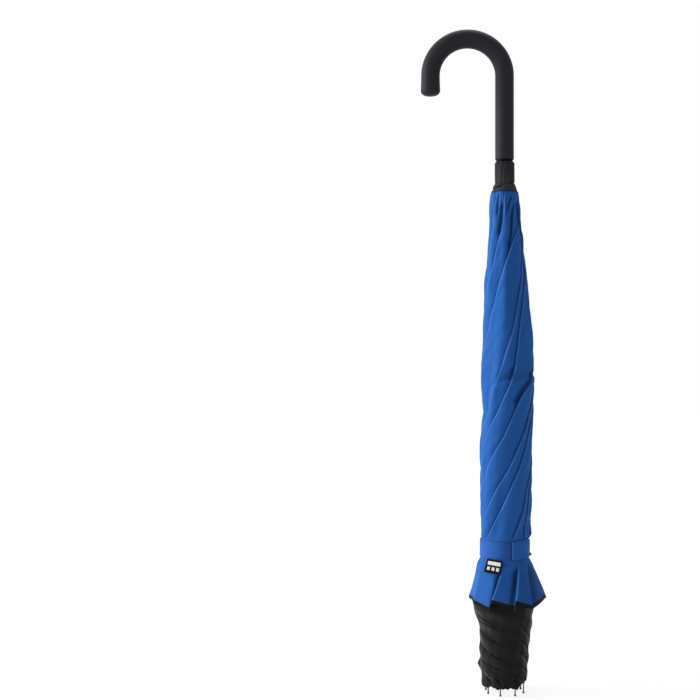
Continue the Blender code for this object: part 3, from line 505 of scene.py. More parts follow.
def label_material(name, ground, thread, width, height):
    """A woven label: a dark satin ground, one wide pale bar and three short bars under it."""
    shader = Shader(name, Specular_IOR_Level=0.1)
    _, across, along = shader.cloth_place()
    side = (across - width / 2).distance()
    bar = (side < width * 0.39) * ((along - height * 0.72).distance() < height * 0.13)
    short = (side < width * 0.36) * ((along - height * 0.33).distance() < height * 0.12) * (
        (across - width * 0.14).remainder(width * 0.275) < width * 0.17)
    drawn = bar + short
    threads = (along * (math.tau / 0.00034)).sine()
    cross = (across * (math.tau / 0.0005)).sine()
    tint = shader.mix(drawn, ground, shader.mix(threads * 0.25 + 0.5, shade(thread, 0.72), thread))
    return shader.finished(tint, 0.62 - drawn * 0.1, threads * 0.00002 + cross * 0.00001 + drawn * 0.00008)


def handle_material(name, colour):
    """Soft-touch coating: nearly even, with a fine grain, faint smudges and a slightly polished patchwork."""
    shader = Shader(name, Specular_IOR_Level=0.10)
    place = shader.object_place()
    smudge = shader.noise(place, 26.0, 3.0)
    grain = shader.noise(place, 2600.0, 2.0, 0.7)
    tint = shader.mix(grain * 0.35, shader.mottled(smudge, colour, 0.86, 1.16), shade(colour, 1.5))
    return shader.finished(tint, smudge * 0.14 + grain * 0.06 + 0.44, grain * 0.00003 + smudge * 0.0001)


def plastic_material(name, colour, gloss=0.3):
    """Moulded plastic: a fine spark-eroded grain."""
    shader = Shader(name, Specular_IOR_Level=gloss)
    place = shader.object_place()
    grain = shader.noise(place, 3200.0, 2.0, 0.6)
    cloud = shader.noise(place, 120.0, 2.0)
    tint = shader.mottled(cloud, colour, 0.85, 1.2)
    return shader.finished(tint, grain * 0.12 + cloud * 0.10 + 0.32, grain * 0.00002)


def metal_material(name, colour, roughness, wear=None, metallic=1.0):
    """Drawn metal: fine lines along the piece, with cloudy roughness and, where painted, small worn spots."""
    shader = Shader(name)
    lines = shader.noise(shader.object_place((1, 1, 0.02)), 5200.0, 2.0, 0.6)
    place = shader.object_place()
    cloud = shader.noise(place, 90.0, 3.0)
    tint = shader.mottled(lines, colour, 0.82, 1.15)
    if wear is not None:
        spots = shader.step(shader.noise(place, 420.0, 4.0, 0.7), 0.66, 0.74)
        tint = shader.mix(spots, tint, wear)
        metallic = spots * (1 - metallic) + metallic
    shader.set("Metallic", metallic)
    return shader.finished(tint, lines * 0.10 + cloud * 0.14 + (roughness - 0.12), lines * 0.000006)


def smooth(values, low, high):
    """A soft step from 0 at low to 1 at high: 3t^2 - 2t^3 of the clipped share t."""
    share = np.clip((values - low) / (high - low), 0, 1)
    return share * share * (3 - 2 * share)


def bell(values, middle, width):
    """A bell curve: e to the minus square of the distance from the middle over the width."""
    return np.exp(-(((values - middle) / width) ** 2))


def wrapped(angle):
    """An angle brought into the half turn each way from 0."""
    return (angle + math.pi) % math.tau - math.pi


def table_at(table, places, column=1):
    """Straight lines through a table of millimetres and values, at places in metres."""
    rows = sorted(table)
    return np.interp(places * 1000, [row[0] for row in rows], [row[column] for row in rows])


def height_at(table, angle):
    """A height in metres from straight lines through a table of directions and millimetres."""
    return np.interp(np.degrees(wrapped(angle)), *zip(*table)) / 1000


def outline_at(table, angle, height):
    """A radius between the table's right and left ones: their mean plus half their difference times cos."""
    right, left = table_at(table, height, 1) / 1000, table_at(table, height, 2) / 1000
    return (right + left) / 2 + (right - left) / 2 * np.cos(angle)


def edge_at(edge, height):
    """The direction of a fold's edge in radians: the mean over 18 mm of the table brought down."""
    steps = (table_at(edge, height + EDGE_DROP + step * 0.0045) for step in (-2, -1, 0, 1, 2))
    return np.radians(sum(steps) / 5)


def swirl(height):
    """The common winding of the folds in radians: the sixth fold edge's direction at this height."""
    return edge_at(FOLD_EDGES[5], height)


def ridges(angle, height, radius, edges, depth, bow=2.0, fall=0.85):
    """Lapped folds, their lips and their painted light. Each fold runs from its own edge to the next one
    round the bundle. With t the share of that way, the cloth stands depth times (1 - t^bow)^fall proud: full
    at the edge, rounding off and dropping under the next lip. The second array is painted light: near 1, a
    painted highlight, on a lip and near -1, painted shade, in a crease."""
    lines = np.stack([edge_at(edge, height) for edge in edges])
    apart = (lines[None] - lines[:, None]) % math.tau
    apart[apart < 1e-6] = math.tau
    width = apart.min(axis=1)
    past, ahead = (angle - lines) % math.tau, (lines - angle) % math.tau
    owner, coming = past.argmin(axis=0)[None], ahead.argmin(axis=0)[None]
    way = np.take_along_axis(width, owner, 0)[0]
    next_way = np.take_along_axis(width, coming, 0)[0]
    after = np.take_along_axis(past, owner, 0)[0]
    before = np.take_along_axis(ahead, coming, 0)[0] * radius
    tall, next_tall = (depth * smooth(turn * radius, 0.0005, 0.012) for turn in (way, next_way))
    relief = tall * (1 - np.clip(after / way, 0, 1) ** bow) ** fall
    rise = smooth(-before, -0.0010, 0.0)
    # painted shade in the crease before each lip; painted highlight on the lip below
    painted_crease_shade = 0.75 * bell(before, 0.0009, 0.0009) + 0.22 * bell(before, 0, 0.0042)
    painted_light = bell(after * radius, 0.0004, 0.00062) - painted_crease_shade * (1 - rise)
    return relief + (next_tall - relief) * rise, painted_light


def hollows(angle, height, radius, lines, shine=0.5, dark=1.0):
    """Valleys with one steep side, each along a drawn line of heights and directions. On the line's left,
    or its right where the width is below 0, the depth falls off as a bell curve of the distance over the
    width; on the other side the cloth is back up within 1 mm. Both die out towards the line's ends. The
    second array is painted light: a painted highlight up to shine on the steep side's lip and painted shade
    down to minus dark in the valley."""
    relief, painted_light = np.zeros_like(angle), np.zeros_like(angle)
    for width, depth, *line in lines:
        top, low = line[0][0] / 1000, line[-1][0] / 1000
        off = wrapped(angle - np.radians(table_at(line, height))) * radius * math.copysign(1, width)
        fade = smooth(height, low - 0.001, low + 0.28 * (top - low))
        fade = fade * smooth(-height, -top - 0.001, -top + 0.25 * (top - low))
        reach = abs(width) / 1000 * (0.35 + 0.65 * fade)
        valley = fade * bell(np.minimum(off + 0.0004, 0), 0, reach) * (1 - smooth(off, -0.0004, 0.0008))
        relief += depth / 1000 * valley
        # painted highlight on the steep side's lip, painted shade in the valley
        painted_light += fade * shine * bell(off, 0.0009, 0.0006) - dark * min(depth / 1.6, 1) * valley ** 1.5
    return relief, painted_light


def ripples(angle, height, seed, size):
    """Soft unevenness that follows the folds: sine waves of the wound angle and the height, summed, and
    shallow dents: products of a sine of the wound angle and one of the height."""
    draw = np.random.default_rng(seed)
    wound = angle - swirl(height)
    total = np.zeros_like(angle)
    for count, length, share in (
            (3, 0.16, 1.0), (5, 0.11, 0.8), (8, 0.08, 0.5), (13, 0.05, 0.16), (21, 0.03, 0.05)):
        phase = draw.uniform(0, math.tau, 2)
        wave = np.sin(count * wound + phase[0] + math.tau * height / length)
        total += share * wave * (0.7 + 0.3 * np.sin(math.tau * height / (length * 2.3) + phase[1]))
    for count, length, share in ((9, 0.043, 0.22), (15, 0.031, 0.13)):
        phase = draw.uniform(0, math.tau, 2)
        total += share * np.sin(count * wound + phase[0]) * np.sin(math.tau * height / length + phase[1])
    return total * size


def gathers(angle, seed, counts):
    """Narrow pleats of uneven width: a few sine waves round the shaft, sharpened at their crests."""
    draw = np.random.default_rng(seed)
    total = np.zeros_like(angle)
    for count in counts:
        phase = draw.uniform(0, math.tau, 2)
        total += np.abs(np.sin(count / 2 * angle + phase[0] + 0.5 * np.sin(2 * angle + phase[1])))
    return total / len(counts) - 0.5


def panels(angle, corners):
    """How far a flat panel between two corners lies inside the round, as a share of the radius: 1 less
    the cosine of half the panel's angle over the cosine of the angle from its middle."""
    corners = np.radians(sorted(set((corner + 180) % 360 - 180 for corner in corners)))
    corners = np.concatenate((corners[-1:] - math.tau, corners, corners[:1] + math.tau))
    place = wrapped(angle)
    index = np.clip(np.searchsorted(corners, place) - 1, 0, len(corners) - 2)
    low, high = corners[index], corners[index + 1]
    return 1 - np.cos((high - low) / 2) / np.cos(place - (low + high) / 2)


def level_lap(angle, height):
    """The level lap between its two ends: a step just under the edge's height that fades in 28 mm, with a
    narrow crease above it. The second array is how near the edge a place is, a bell curve of the height
    over it, and the third a wider one further up, the shade over the lap."""
    place = np.degrees(wrapped(angle))
    under = height_at(LAP_EDGE, angle) - height
    ends = smooth(place, LAP_START - 14, LAP_START + 8) * smooth(-place, -LAP_END - 10, -LAP_END + 8)
    step = smooth(under, -0.0022, 0.0016) * np.clip(1 - under / 0.028, 0, 1) ** 1.2
    over = bell(under, -0.0065, 0.0070) * smooth(-under, -0.0025, 0.0015) * smooth(place, -124, -96)
    return (LAP_SIZE * ends * (step - 0.6 * bell(under, -0.0030, 0.0035)),
            ends * bell(under, -0.0035, 0.0045), ends * over)


def lining_surface(angle, base, settings):
    """The lining's radius, height and painted light at a direction and a height above the hem's lowest point:
    the outline, with the wound folds, the lap and soft ripples above the strap, flat flaps below it, pleats
    at the neck and puckers beside the strap. The painted light is painted highlights on the lips and painted
    shade in the creases, over the lap, under the collar and on the skirt's middle panels."""
    share = np.clip((STRAP_LOW - base) / (STRAP_LOW - SKIRT_FOOT), 0, 1)
    height = base + (height_at(HEM_HEIGHTS, angle) - SKIRT_FOOT) * share
    radius = outline_at(LINING_OUTLINE, angle, height)
    above = smooth(base, STRAP_HIGH - 0.0005, STRAP_HIGH + 0.007)
    below = smooth(-base, -STRAP_LOW, -STRAP_LOW + 0.030)
    neck = smooth(base, LINING_TOP - settings.pleat_length, LINING_TOP - 0.008)
    slim = 1 - NECK_SLIM * smooth(height, 0.50, 0.58)

    folds, painted_light = ridges(angle, height, radius, FOLD_EDGES, settings.fold_depth)
    flaps, skirt_painted_light = ridges(angle, height, radius, SKIRT_EDGES, settings.skirt_depth, 1.0, 1.0)
    neck_hollow, neck_painted_light = hollows(angle, height, radius, NECK_LINES, 0.6, 1.7)
    skirt_hollow, gusset_painted_light = hollows(angle, height, radius, SKIRT_LINES, 0.7, 1.15)
    lap_hollow, lap_painted_light = hollows(angle, height, radius, LAP_LINES)
    lap, near, over = level_lap(angle, height)

    folds = (folds - settings.fold_depth * 0.68) * slim
    relief = folds + lap - lap_hollow + ripples(angle, height, 3, RIPPLE_SIZE)
    pleats = settings.pleat_depth * neck * gathers(angle - swirl(height) * 0.6, 11, (17, 26, 38))
    beside = np.exp(-((base - STRAP_HIGH) / 0.010)) * above + np.exp((base - STRAP_LOW) / 0.020) * (
        base < STRAP_LOW)
    pucker = PUCKER_SIZE * beside * gathers(angle - swirl(height) * 0.3, 5, (14, 23))
    radius = radius + relief * above - neck_hollow + pleats + pucker
    radius = radius + (flaps - settings.skirt_depth * 0.6) * below
    radius = radius * (1 - SKIRT_FLATNESS * below * panels(angle, SKIRT_CORNERS)) - skirt_hollow

    # Painted light: painted highlights on the fold and lap lips, painted shade in the creases, over the lap
    # and under the collar
    painted_light = (painted_light + lap_painted_light) * (1 - 0.7 * near) * slim + neck_painted_light - LAP_SHADE * over
    painted_light = painted_light - COLLAR_SHADE * smooth(base, LINING_TOP - 0.0042, LINING_TOP - 0.0028)
    # painted shade on the skirt's middle panels, which face down
    place = np.degrees(wrapped(angle))
    shaded_panels = smooth(place, -118, -108) * smooth(-place, -150, -120) * smooth(-height, -0.158, -0.138)
    painted_shading = gusset_painted_light - settings.skirt_painted_shade * shaded_panels
    return radius, height, painted_light * above + skirt_painted_light * below + painted_shading


def canopy_surface(angle, height):
    """The outer canopy's radius and painted light. Near the tips it lies outside the ribs: the outline less
    its creases, with the nub as a product of two bell curves, three low sine waves, and pleats at the hem.
    From
    128 to 160 mm up a soft step takes it inside them, 2.4 mm within the line of the ribs. The painted light
    is painted highlights on the creases' lips and painted shade in them, fading out with the step."""
    outside = outline_at(CANOPY_OUTLINE, angle, height)
    folds, painted_light = hollows(angle, height, outside, CANOPY_LINES, 0.15, 1.5)
    nub_height, nub_angle, nub_size = CANOPY_NUB
    off = wrapped(angle - math.radians(nub_angle)) * 0.028
    nub = nub_size / 1000 * bell(off, 0, 0.004) * bell(height, nub_height / 1000, 0.0045)
    outside = outside - folds + nub + 0.00045 * np.sin(3 * angle + 330 * height + 0.6)
    outside += 0.00030 * np.sin(7 * angle + 210 * height) + 0.00015 * np.sin(16 * angle - 90 * height)
    outside += 0.0010 * gathers(angle, 8, (16, 27)) * smooth(-height, -0.022, -0.006)
    inside = np.interp(height, (0, LINING_TOP), (0.0224, 0.0095)) - 0.0024
    change = smooth(height, 0.128, 0.160)
    return outside + (inside - outside) * change, painted_light * (1 - change)


def around(radius, angle, height):
    """Points from distances, directions and heights about the shaft."""
    return np.stack((AXIS.x + radius * np.cos(angle), AXIS.y + radius * np.sin(angle), height), axis=-1)


def beside(facing, out, aside, height):
    """Points out from the shaft in one direction, moved aside, and at a height."""
    return np.stack((AXIS.x + out * math.cos(facing) - aside * math.sin(facing),
                     AXIS.y + out * math.sin(facing) + aside * math.cos(facing), height), axis=-1)


def quads(index):
    """The four-cornered faces of a grid of point numbers, turned to face out."""
    corners = (index[:-1, :-1], index[1:, :-1], index[1:, 1:], index[:-1, 1:])
    return np.stack(corners, axis=-1).reshape(-1, 4)


def mesh_object(name, points, faces, material, uv=None, extras=None):
    """Puts points and faces into a smooth mesh at the origin, with the cloth's own map and numbers."""
    mesh = bpy.data.meshes.new(name)
    mesh.from_pydata(points.tolist(), [], [face for group in faces for face in group.tolist()])
    mesh.shade_smooth()
    if uv is not None:
        loops = np.zeros(len(mesh.loops), np.int32)
        mesh.loops.foreach_get("vertex_index", loops)
        layer = mesh.uv_layers.new(name="cloth")
        layer.data.foreach_set("uv", uv[loops].astype(np.float32).ravel())
    for key, values in (extras or {}).items():
        mesh.attributes.new(key, "FLOAT", "POINT").data.foreach_set("value", values.astype(np.float32))
    mesh.materials.append(material)
    piece = bpy.data.objects.new(name, mesh)
    bpy.context.scene.collection.objects.link(piece)
    return piece


def sheet(name, front, back, uv, material, extras=None):
    """A thin closed sheet between two grids of points, with narrow sides of its own."""
    rows, columns = front.shape[:2]
    count = rows * columns
    index = np.arange(count).reshape(rows, columns)
    rim = np.concatenate((index[:-1, 0], index[-1, :-1], index[:0:-1, -1], index[0, :0:-1]))
    after = np.roll(rim, -1)
    sides = np.stack((after, rim, rim + count, after + count), axis=-1)
    points = np.concatenate((front.reshape(-1, 3), back.reshape(-1, 3)))
    faces = (quads(index), quads(index)[:, ::-1] + count, sides)
    flat = np.concatenate((uv.reshape(-1, 2),) * 2)
    values = {key: np.concatenate((value.ravel(),) * 2) for key, value in (extras or {}).items()}
    piece = mesh_object(name, points, faces, material, flat, values)
    mesh = piece.data
    on_rim = np.zeros(2 * count, bool)
    on_rim[rim] = on_rim[rim + count] = True
    pairs = np.zeros(len(mesh.edges) * 2, np.int32)
    mesh.edges.foreach_get("vertices", pairs)
    pairs = pairs.reshape(-1, 2)
    level = (pairs[:, 0] < count) == (pairs[:, 1] < count)
    sharp = on_rim[pairs[:, 0]] & on_rim[pairs[:, 1]] & level
    mesh.attributes.new("sharp_edge", "BOOLEAN", "EDGE").data.foreach_set("value", sharp)
    return piece


def wheel(name, rings, material, capped=True, uv=None, extras=None):
    """A closed body through rings of points: capped with fans at both ends, or joined end to end."""
    rows, sides = rings.shape[:2]
    index = np.arange(rows * sides).reshape(rows, sides)
    index = np.concatenate((index, index[:, :1]), axis=1)
    points = rings.reshape(-1, 3)
    if not capped:
        index = np.concatenate((index, index[:1]), axis=0)
        return mesh_object(name, points, (quads(index),), material, uv, extras)
    poles = np.stack((rings[0].mean(axis=0), rings[-1].mean(axis=0)))
    first, last = rows * sides, rows * sides + 1
    top = np.stack((np.full(sides, first), index[0, :-1], index[0, 1:]), axis=-1)
    bottom = np.stack((np.full(sides, last), index[-1, 1:], index[-1, :-1]), axis=-1)
    return mesh_object(name, np.concatenate((points, poles)), (quads(index), top, bottom), material)


def lathe(outline, sides, centre):
    """Rings of points from a (radius, height) outline turned about an upright line, top first."""
    turns = np.linspace(0, math.tau, sides, endpoint=False)
    radius, height = np.array(outline).T
    return np.stack((
        centre[0] + radius[:, None] * np.cos(turns), centre[1] + radius[:, None] * np.sin(turns),
        np.repeat(height[:, None], sides, axis=1)), axis=-1)


def settled(piece, body, node):
    """Makes a piece ride on a body and stand for a CAD node."""
    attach(piece, body)
    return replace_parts(piece, node)


def rib_direction(number):
    """The direction of a rib about the shaft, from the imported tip."""
    middle = middle_of(f"rib_tip_{number}") - AXIS
    return math.atan2(middle.y, middle.x)


def gore_grid(number, columns, heights):
    """Directions across a gore, from its own rib to the next one, and the values of each row."""
    start = rib_direction(number)
    return np.meshgrid(np.linspace(start, start + GORE_ANGLE, columns + 1), heights)


def gore_cloth(kind, number, radius, angle, height, thickness, uv, material, extras):
    """One gore's cloth, which follows its own rib at its first edge and the next rib at its last."""
    slot, node, held, bar, arm, gore, reach = GORES[kind]
    front, back = around(radius, angle, height), around(radius - thickness, angle, height)
    piece = sheet(f"{kind}_{number}", front, back, np.stack(uv, axis=-1), material, extras)
    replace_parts(piece, f"{node}_{number}")
    start = rib_direction(number)
    tuple(around(reach, start, 0.1))
    tuple(around(reach, start + GORE_ANGLE, 0.1))
    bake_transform(piece)


class UMBRELLA_OT_lining(bpy.types.Operator):
    """Adds the furled lining: eight gores with wound folds, a waist under the strap and a bound hem"""

    bl_idname = "umbrella.lining"
    bl_label = "Lining"

    def execute(self, context):
        settings = context.scene.umbrella_cloth
        binding = shade(settings.canopy_colour, 0.4)
        material = cloth_material("lining_cloth", tuple(settings.lining_colour), binding, settings.hem_width)
        heights = np.linspace(LINING_TOP - settings.neck_drop, SKIRT_FOOT, settings.rows + 1)
        # Each strip was cut as wide as the outline is round, and as long as it is tall
        tall = np.linspace(SKIRT_FOOT, LINING_TOP, 200)
        wide = outline_at(LINING_OUTLINE, math.pi / 2, tall) * GORE_ANGLE
        for number in RIBS:
            angle, base = gore_grid(number, settings.columns, heights)
            radius, height, painted_light = lining_surface(angle, base, settings)
            gore_cloth("lining_cloth", number, radius, angle, height, settings.thickness,
                       (angle * 0.03, LINING_TOP - height), material,
                       {"painted_light": painted_light, "hem": (base - SKIRT_FOOT) * HEM_STRETCH})
        return {"FINISHED"}


class UMBRELLA_OT_canopy(bpy.types.Operator):
    """Adds the black canopy: eight outer gores down to the tips and eight inner ones up from the crown"""

    bl_idname = "umbrella.canopy"
    bl_label = "Canopy"

    def execute(self, context):
        settings = context.scene.umbrella_cloth
        material = cloth_material(
            "canopy_cloth", tuple(settings.canopy_colour), sheen=0.40, rough=0.70, gloss=0.04)
        hidden = 0.170  # above this height the lining covers the canopy
        heights = np.concatenate((
            np.linspace(CANOPY_TOP, hidden, 60)[:-1], np.linspace(hidden, CANOPY_HEM, 300)))
        for number in RIBS:
            angle, base = gore_grid(number, settings.columns, heights)
            across = (angle - rib_direction(number)) / GORE_ANGLE
            # The hem rises by a squared half sine between two ribs, by pleats, and by its table
            drawn_up = 0.0013 * np.sin(math.pi * across) ** 2
            drawn_up = drawn_up + 0.0026 * gathers(angle, 31, (15, 26)) + height_at(CANOPY_RISE, angle)
            height = base + drawn_up * smooth(-base, -0.05, -CANOPY_HEM)
            radius, painted_light = canopy_surface(angle, height)
            gore_cloth("canopy_cloth", number, radius, angle, height, settings.thickness,
                       (angle * 0.03, height), material, {"painted_light": painted_light})

            angle, share = gore_grid(number, 48, np.linspace(1, 0, 60))
            across = (angle - rib_direction(number)) / GORE_ANGLE
            # The inner edge dips by a half sine to the power 0.8 between two ribs
            low = CROWN_TOP + 0.001
            top = INNER_TOP - settings.inner_sag * np.abs(np.sin(math.pi * across)) ** 0.8
            height = low + (top - low) * share
            radius = np.interp(height, (CROWN_TOP, JOINT_HEIGHT), (0.0108, 0.0122))
            radius = radius + 0.0006 * np.sin(3 * math.tau * across)
            gore_cloth("inner_cloth", number, radius, angle, height, settings.thickness,
                       (angle * 0.012, height), material, {"painted_light": 0 * angle})
        return {"FINISHED"}


class UMBRELLA_OT_runner(bpy.types.Operator):
    """Adds the gathered cloth sleeve and the flared collar round the runner"""

    bl_idname = "umbrella.runner"
    bl_label = "Runner cloth"

    def execute(self, context):
        settings = context.scene.umbrella_cloth
        colour = tuple(p * q for p, q in zip(settings.canopy_colour, (2.02, 1.94, 2.30)))
        share = np.linspace(0, 1, 60)
        angle = np.linspace(0, math.tau, 193)[:-1] + math.pi / 2 + 0 * share[:, None]
        self.sleeve(colour, share, angle)
        self.collar(shade(colour, 1.50), share, angle)
        return {"FINISHED"}

    def sleeve(self, colour, share, angle):
        """The sleeve: a narrow rim band at the top and uneven pleats below it, with painted highlights on the
        pleats' crests and painted shade in their hollows, at the very top and under the rim band.
        """
        box_low, box_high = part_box("runner_sleeve")
        low, high = box_low.z - 0.0017, box_high.z
        height = high - (high - low) * share
        band = smooth(height, high - 0.0014, high - 0.0006)
        body = (box_high.x - box_low.x) / 2 - 0.0004 - 0.0005 * band - 0.0004 * bell(share, 0, 1 / 30)
        body -= 0.0003 * bell(height, high - 0.0061, 0.0005) + 0.0004 * smooth(share, 0.93, 1.0)
        pleats = gathers(angle + share[:, None] * 0.25, 21, (7, 12, 19))
        radius = body[:, None] + pleats * (0.0012 * (1 - band * 0.6))[:, None]
        # painted light: painted highlights on the pleats' crests, painted shade in their hollows, at the top
        # under the handle and under the rim band
        painted_light = np.clip(pleats * 3.2, -1, 0.35) * smooth(share, 0.10, 0.95)[:, None]
        painted_light = painted_light - (bell(share, 0, 0.03) + 0.5 * bell(share, 0.10, 0.03))[:, None]
        self.ring("gathered_sleeve", "sleeve_cloth", colour, radius, angle, height, painted_light, "runner_sleeve")

    def collar(self, colour, share, angle):
        """The collar: a flare with a slack fold and a rolled lower edge, with painted light in the slack fold
        and painted shade along the rolled lower edge.
        """
        box_low, box_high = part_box("runner_collar")
        low, high = box_low.z - 0.0024, box_high.z - 0.0016
        wide = (box_high.x - box_low.x) / 2 - 0.0003
        height = high - (high - low) * share
        flare = COLLAR_TOP + (wide - COLLAR_TOP) * share ** 1.15 - 0.0011 * bell(share, 0, 0.07)
        drape = 0.0006 * gathers(angle, 9, (7, 11, 18)) * smooth(share, 0.02, 0.5)[:, None]
        slack, painted_light = hollows(angle, height[:, None] + 0 * angle, COLLAR_MEAN, COLLAR_LINES, 0.5, 1.4)
        # painted shade along the rolled lower edge
        painted_light = painted_light - smooth(share, 0.88, 0.95)[:, None] * 0.8
        self.ring("flared_collar", "collar_cloth", colour, flare[:, None] + drape - slack, angle, height, painted_light,
                  "runner_collar")

    def ring(self, name, finish, colour, radius, angle, height, painted_light, node):
        """A closed ring of cloth between an outer surface and a round bore, which rides on the runner."""
        material = cloth_material(finish, colour, sheen=0.03, rough=0.68, gloss=0.06)
        height = height[:, None] + 0 * angle
        inner = around(RUNNER_BORE, angle[-2:], height[[-1, 0]])
        rings = np.concatenate((around(radius, angle, height), inner))
        flat = np.stack(((angle - angle[0, 0]) * 0.0115, height), axis=-1)
        flat = np.concatenate((flat, flat[[-1, 0]])).reshape(-1, 2)
        # painted light on the outer surface, none on the bore
        painted_light_values = np.concatenate((painted_light, 0 * painted_light[-2:])).ravel()
        piece = wheel(name, rings, material, False, flat, {"painted_light": painted_light_values})
        settled(piece, "runner", node)


class UMBRELLA_OT_handle(bpy.types.Operator):
    """Adds the crook handle: a straight grip, a half-circle arch and a rounded free end"""

    bl_idname = "umbrella.handle"
    bl_label = "Handle"

    def execute(self, context):
        settings = context.scene.umbrella_handle
        material = handle_material("soft_touch_black", tuple(settings.colour))
        low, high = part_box("handle_crook")
        half, base = (high.y - low.y) / 2, low.z
        crook = (AXIS.x - low.x - half - settings.end_bulge) / 2
        centre = high.z - crook - half
        far = AXIS.x - 2 * crook
        neck = settings.crook_drop - settings.end_round

        # A circle is carried up the grip, over a half-circle arch and down to the free end, where its radius
        # falls as a cosine to the power 0.65. Each section: its middle's x and z, the way that its first
        # point lies, and its radius
        sections = [(AXIS.x, base + rise, 1.0, 0.0, width) for rise, width in (
            (0.04, HANDLE_BORE), (0, HANDLE_BORE), (0, half - 0.0006), (0.0002, half - 0.0002))]
        sections += [(AXIS.x, base + rise, 1.0, 0.0, half)
                     for rise in np.linspace(0.0006, centre - base, 30)[:-1]]
        sections += [(AXIS.x - crook + crook * math.cos(a), centre + crook * math.sin(a),
                      math.cos(a), math.sin(a), half) for a in np.linspace(0, math.pi, 97)]
        sections += [(far, centre - neck * share, -1.0, 0.0, half + settings.end_bulge * share ** 2)
                     for share in np.linspace(0, 1, 9)[1:]]
        sections += [(far, centre - neck - settings.end_round * math.sin(a), -1.0, 0.0,
                      (half + settings.end_bulge) * math.cos(a) ** 0.65)
                     for a in np.linspace(0, math.radians(86), 15)[1:]]
        turns = np.linspace(0, math.tau, 64, endpoint=False)
        x, z, out_x, out_z, width = (np.array(column)[:, None] for column in zip(*sections))
        rings = np.stack((x + width * out_x * np.cos(turns), AXIS.y + width * np.sin(turns) + 0 * x,
                          z + width * out_z * np.cos(turns)), axis=-1)
        settled(wheel("crook_grip", rings[::-1], material), "shaft", "handle_crook")
        return {"FINISHED"}


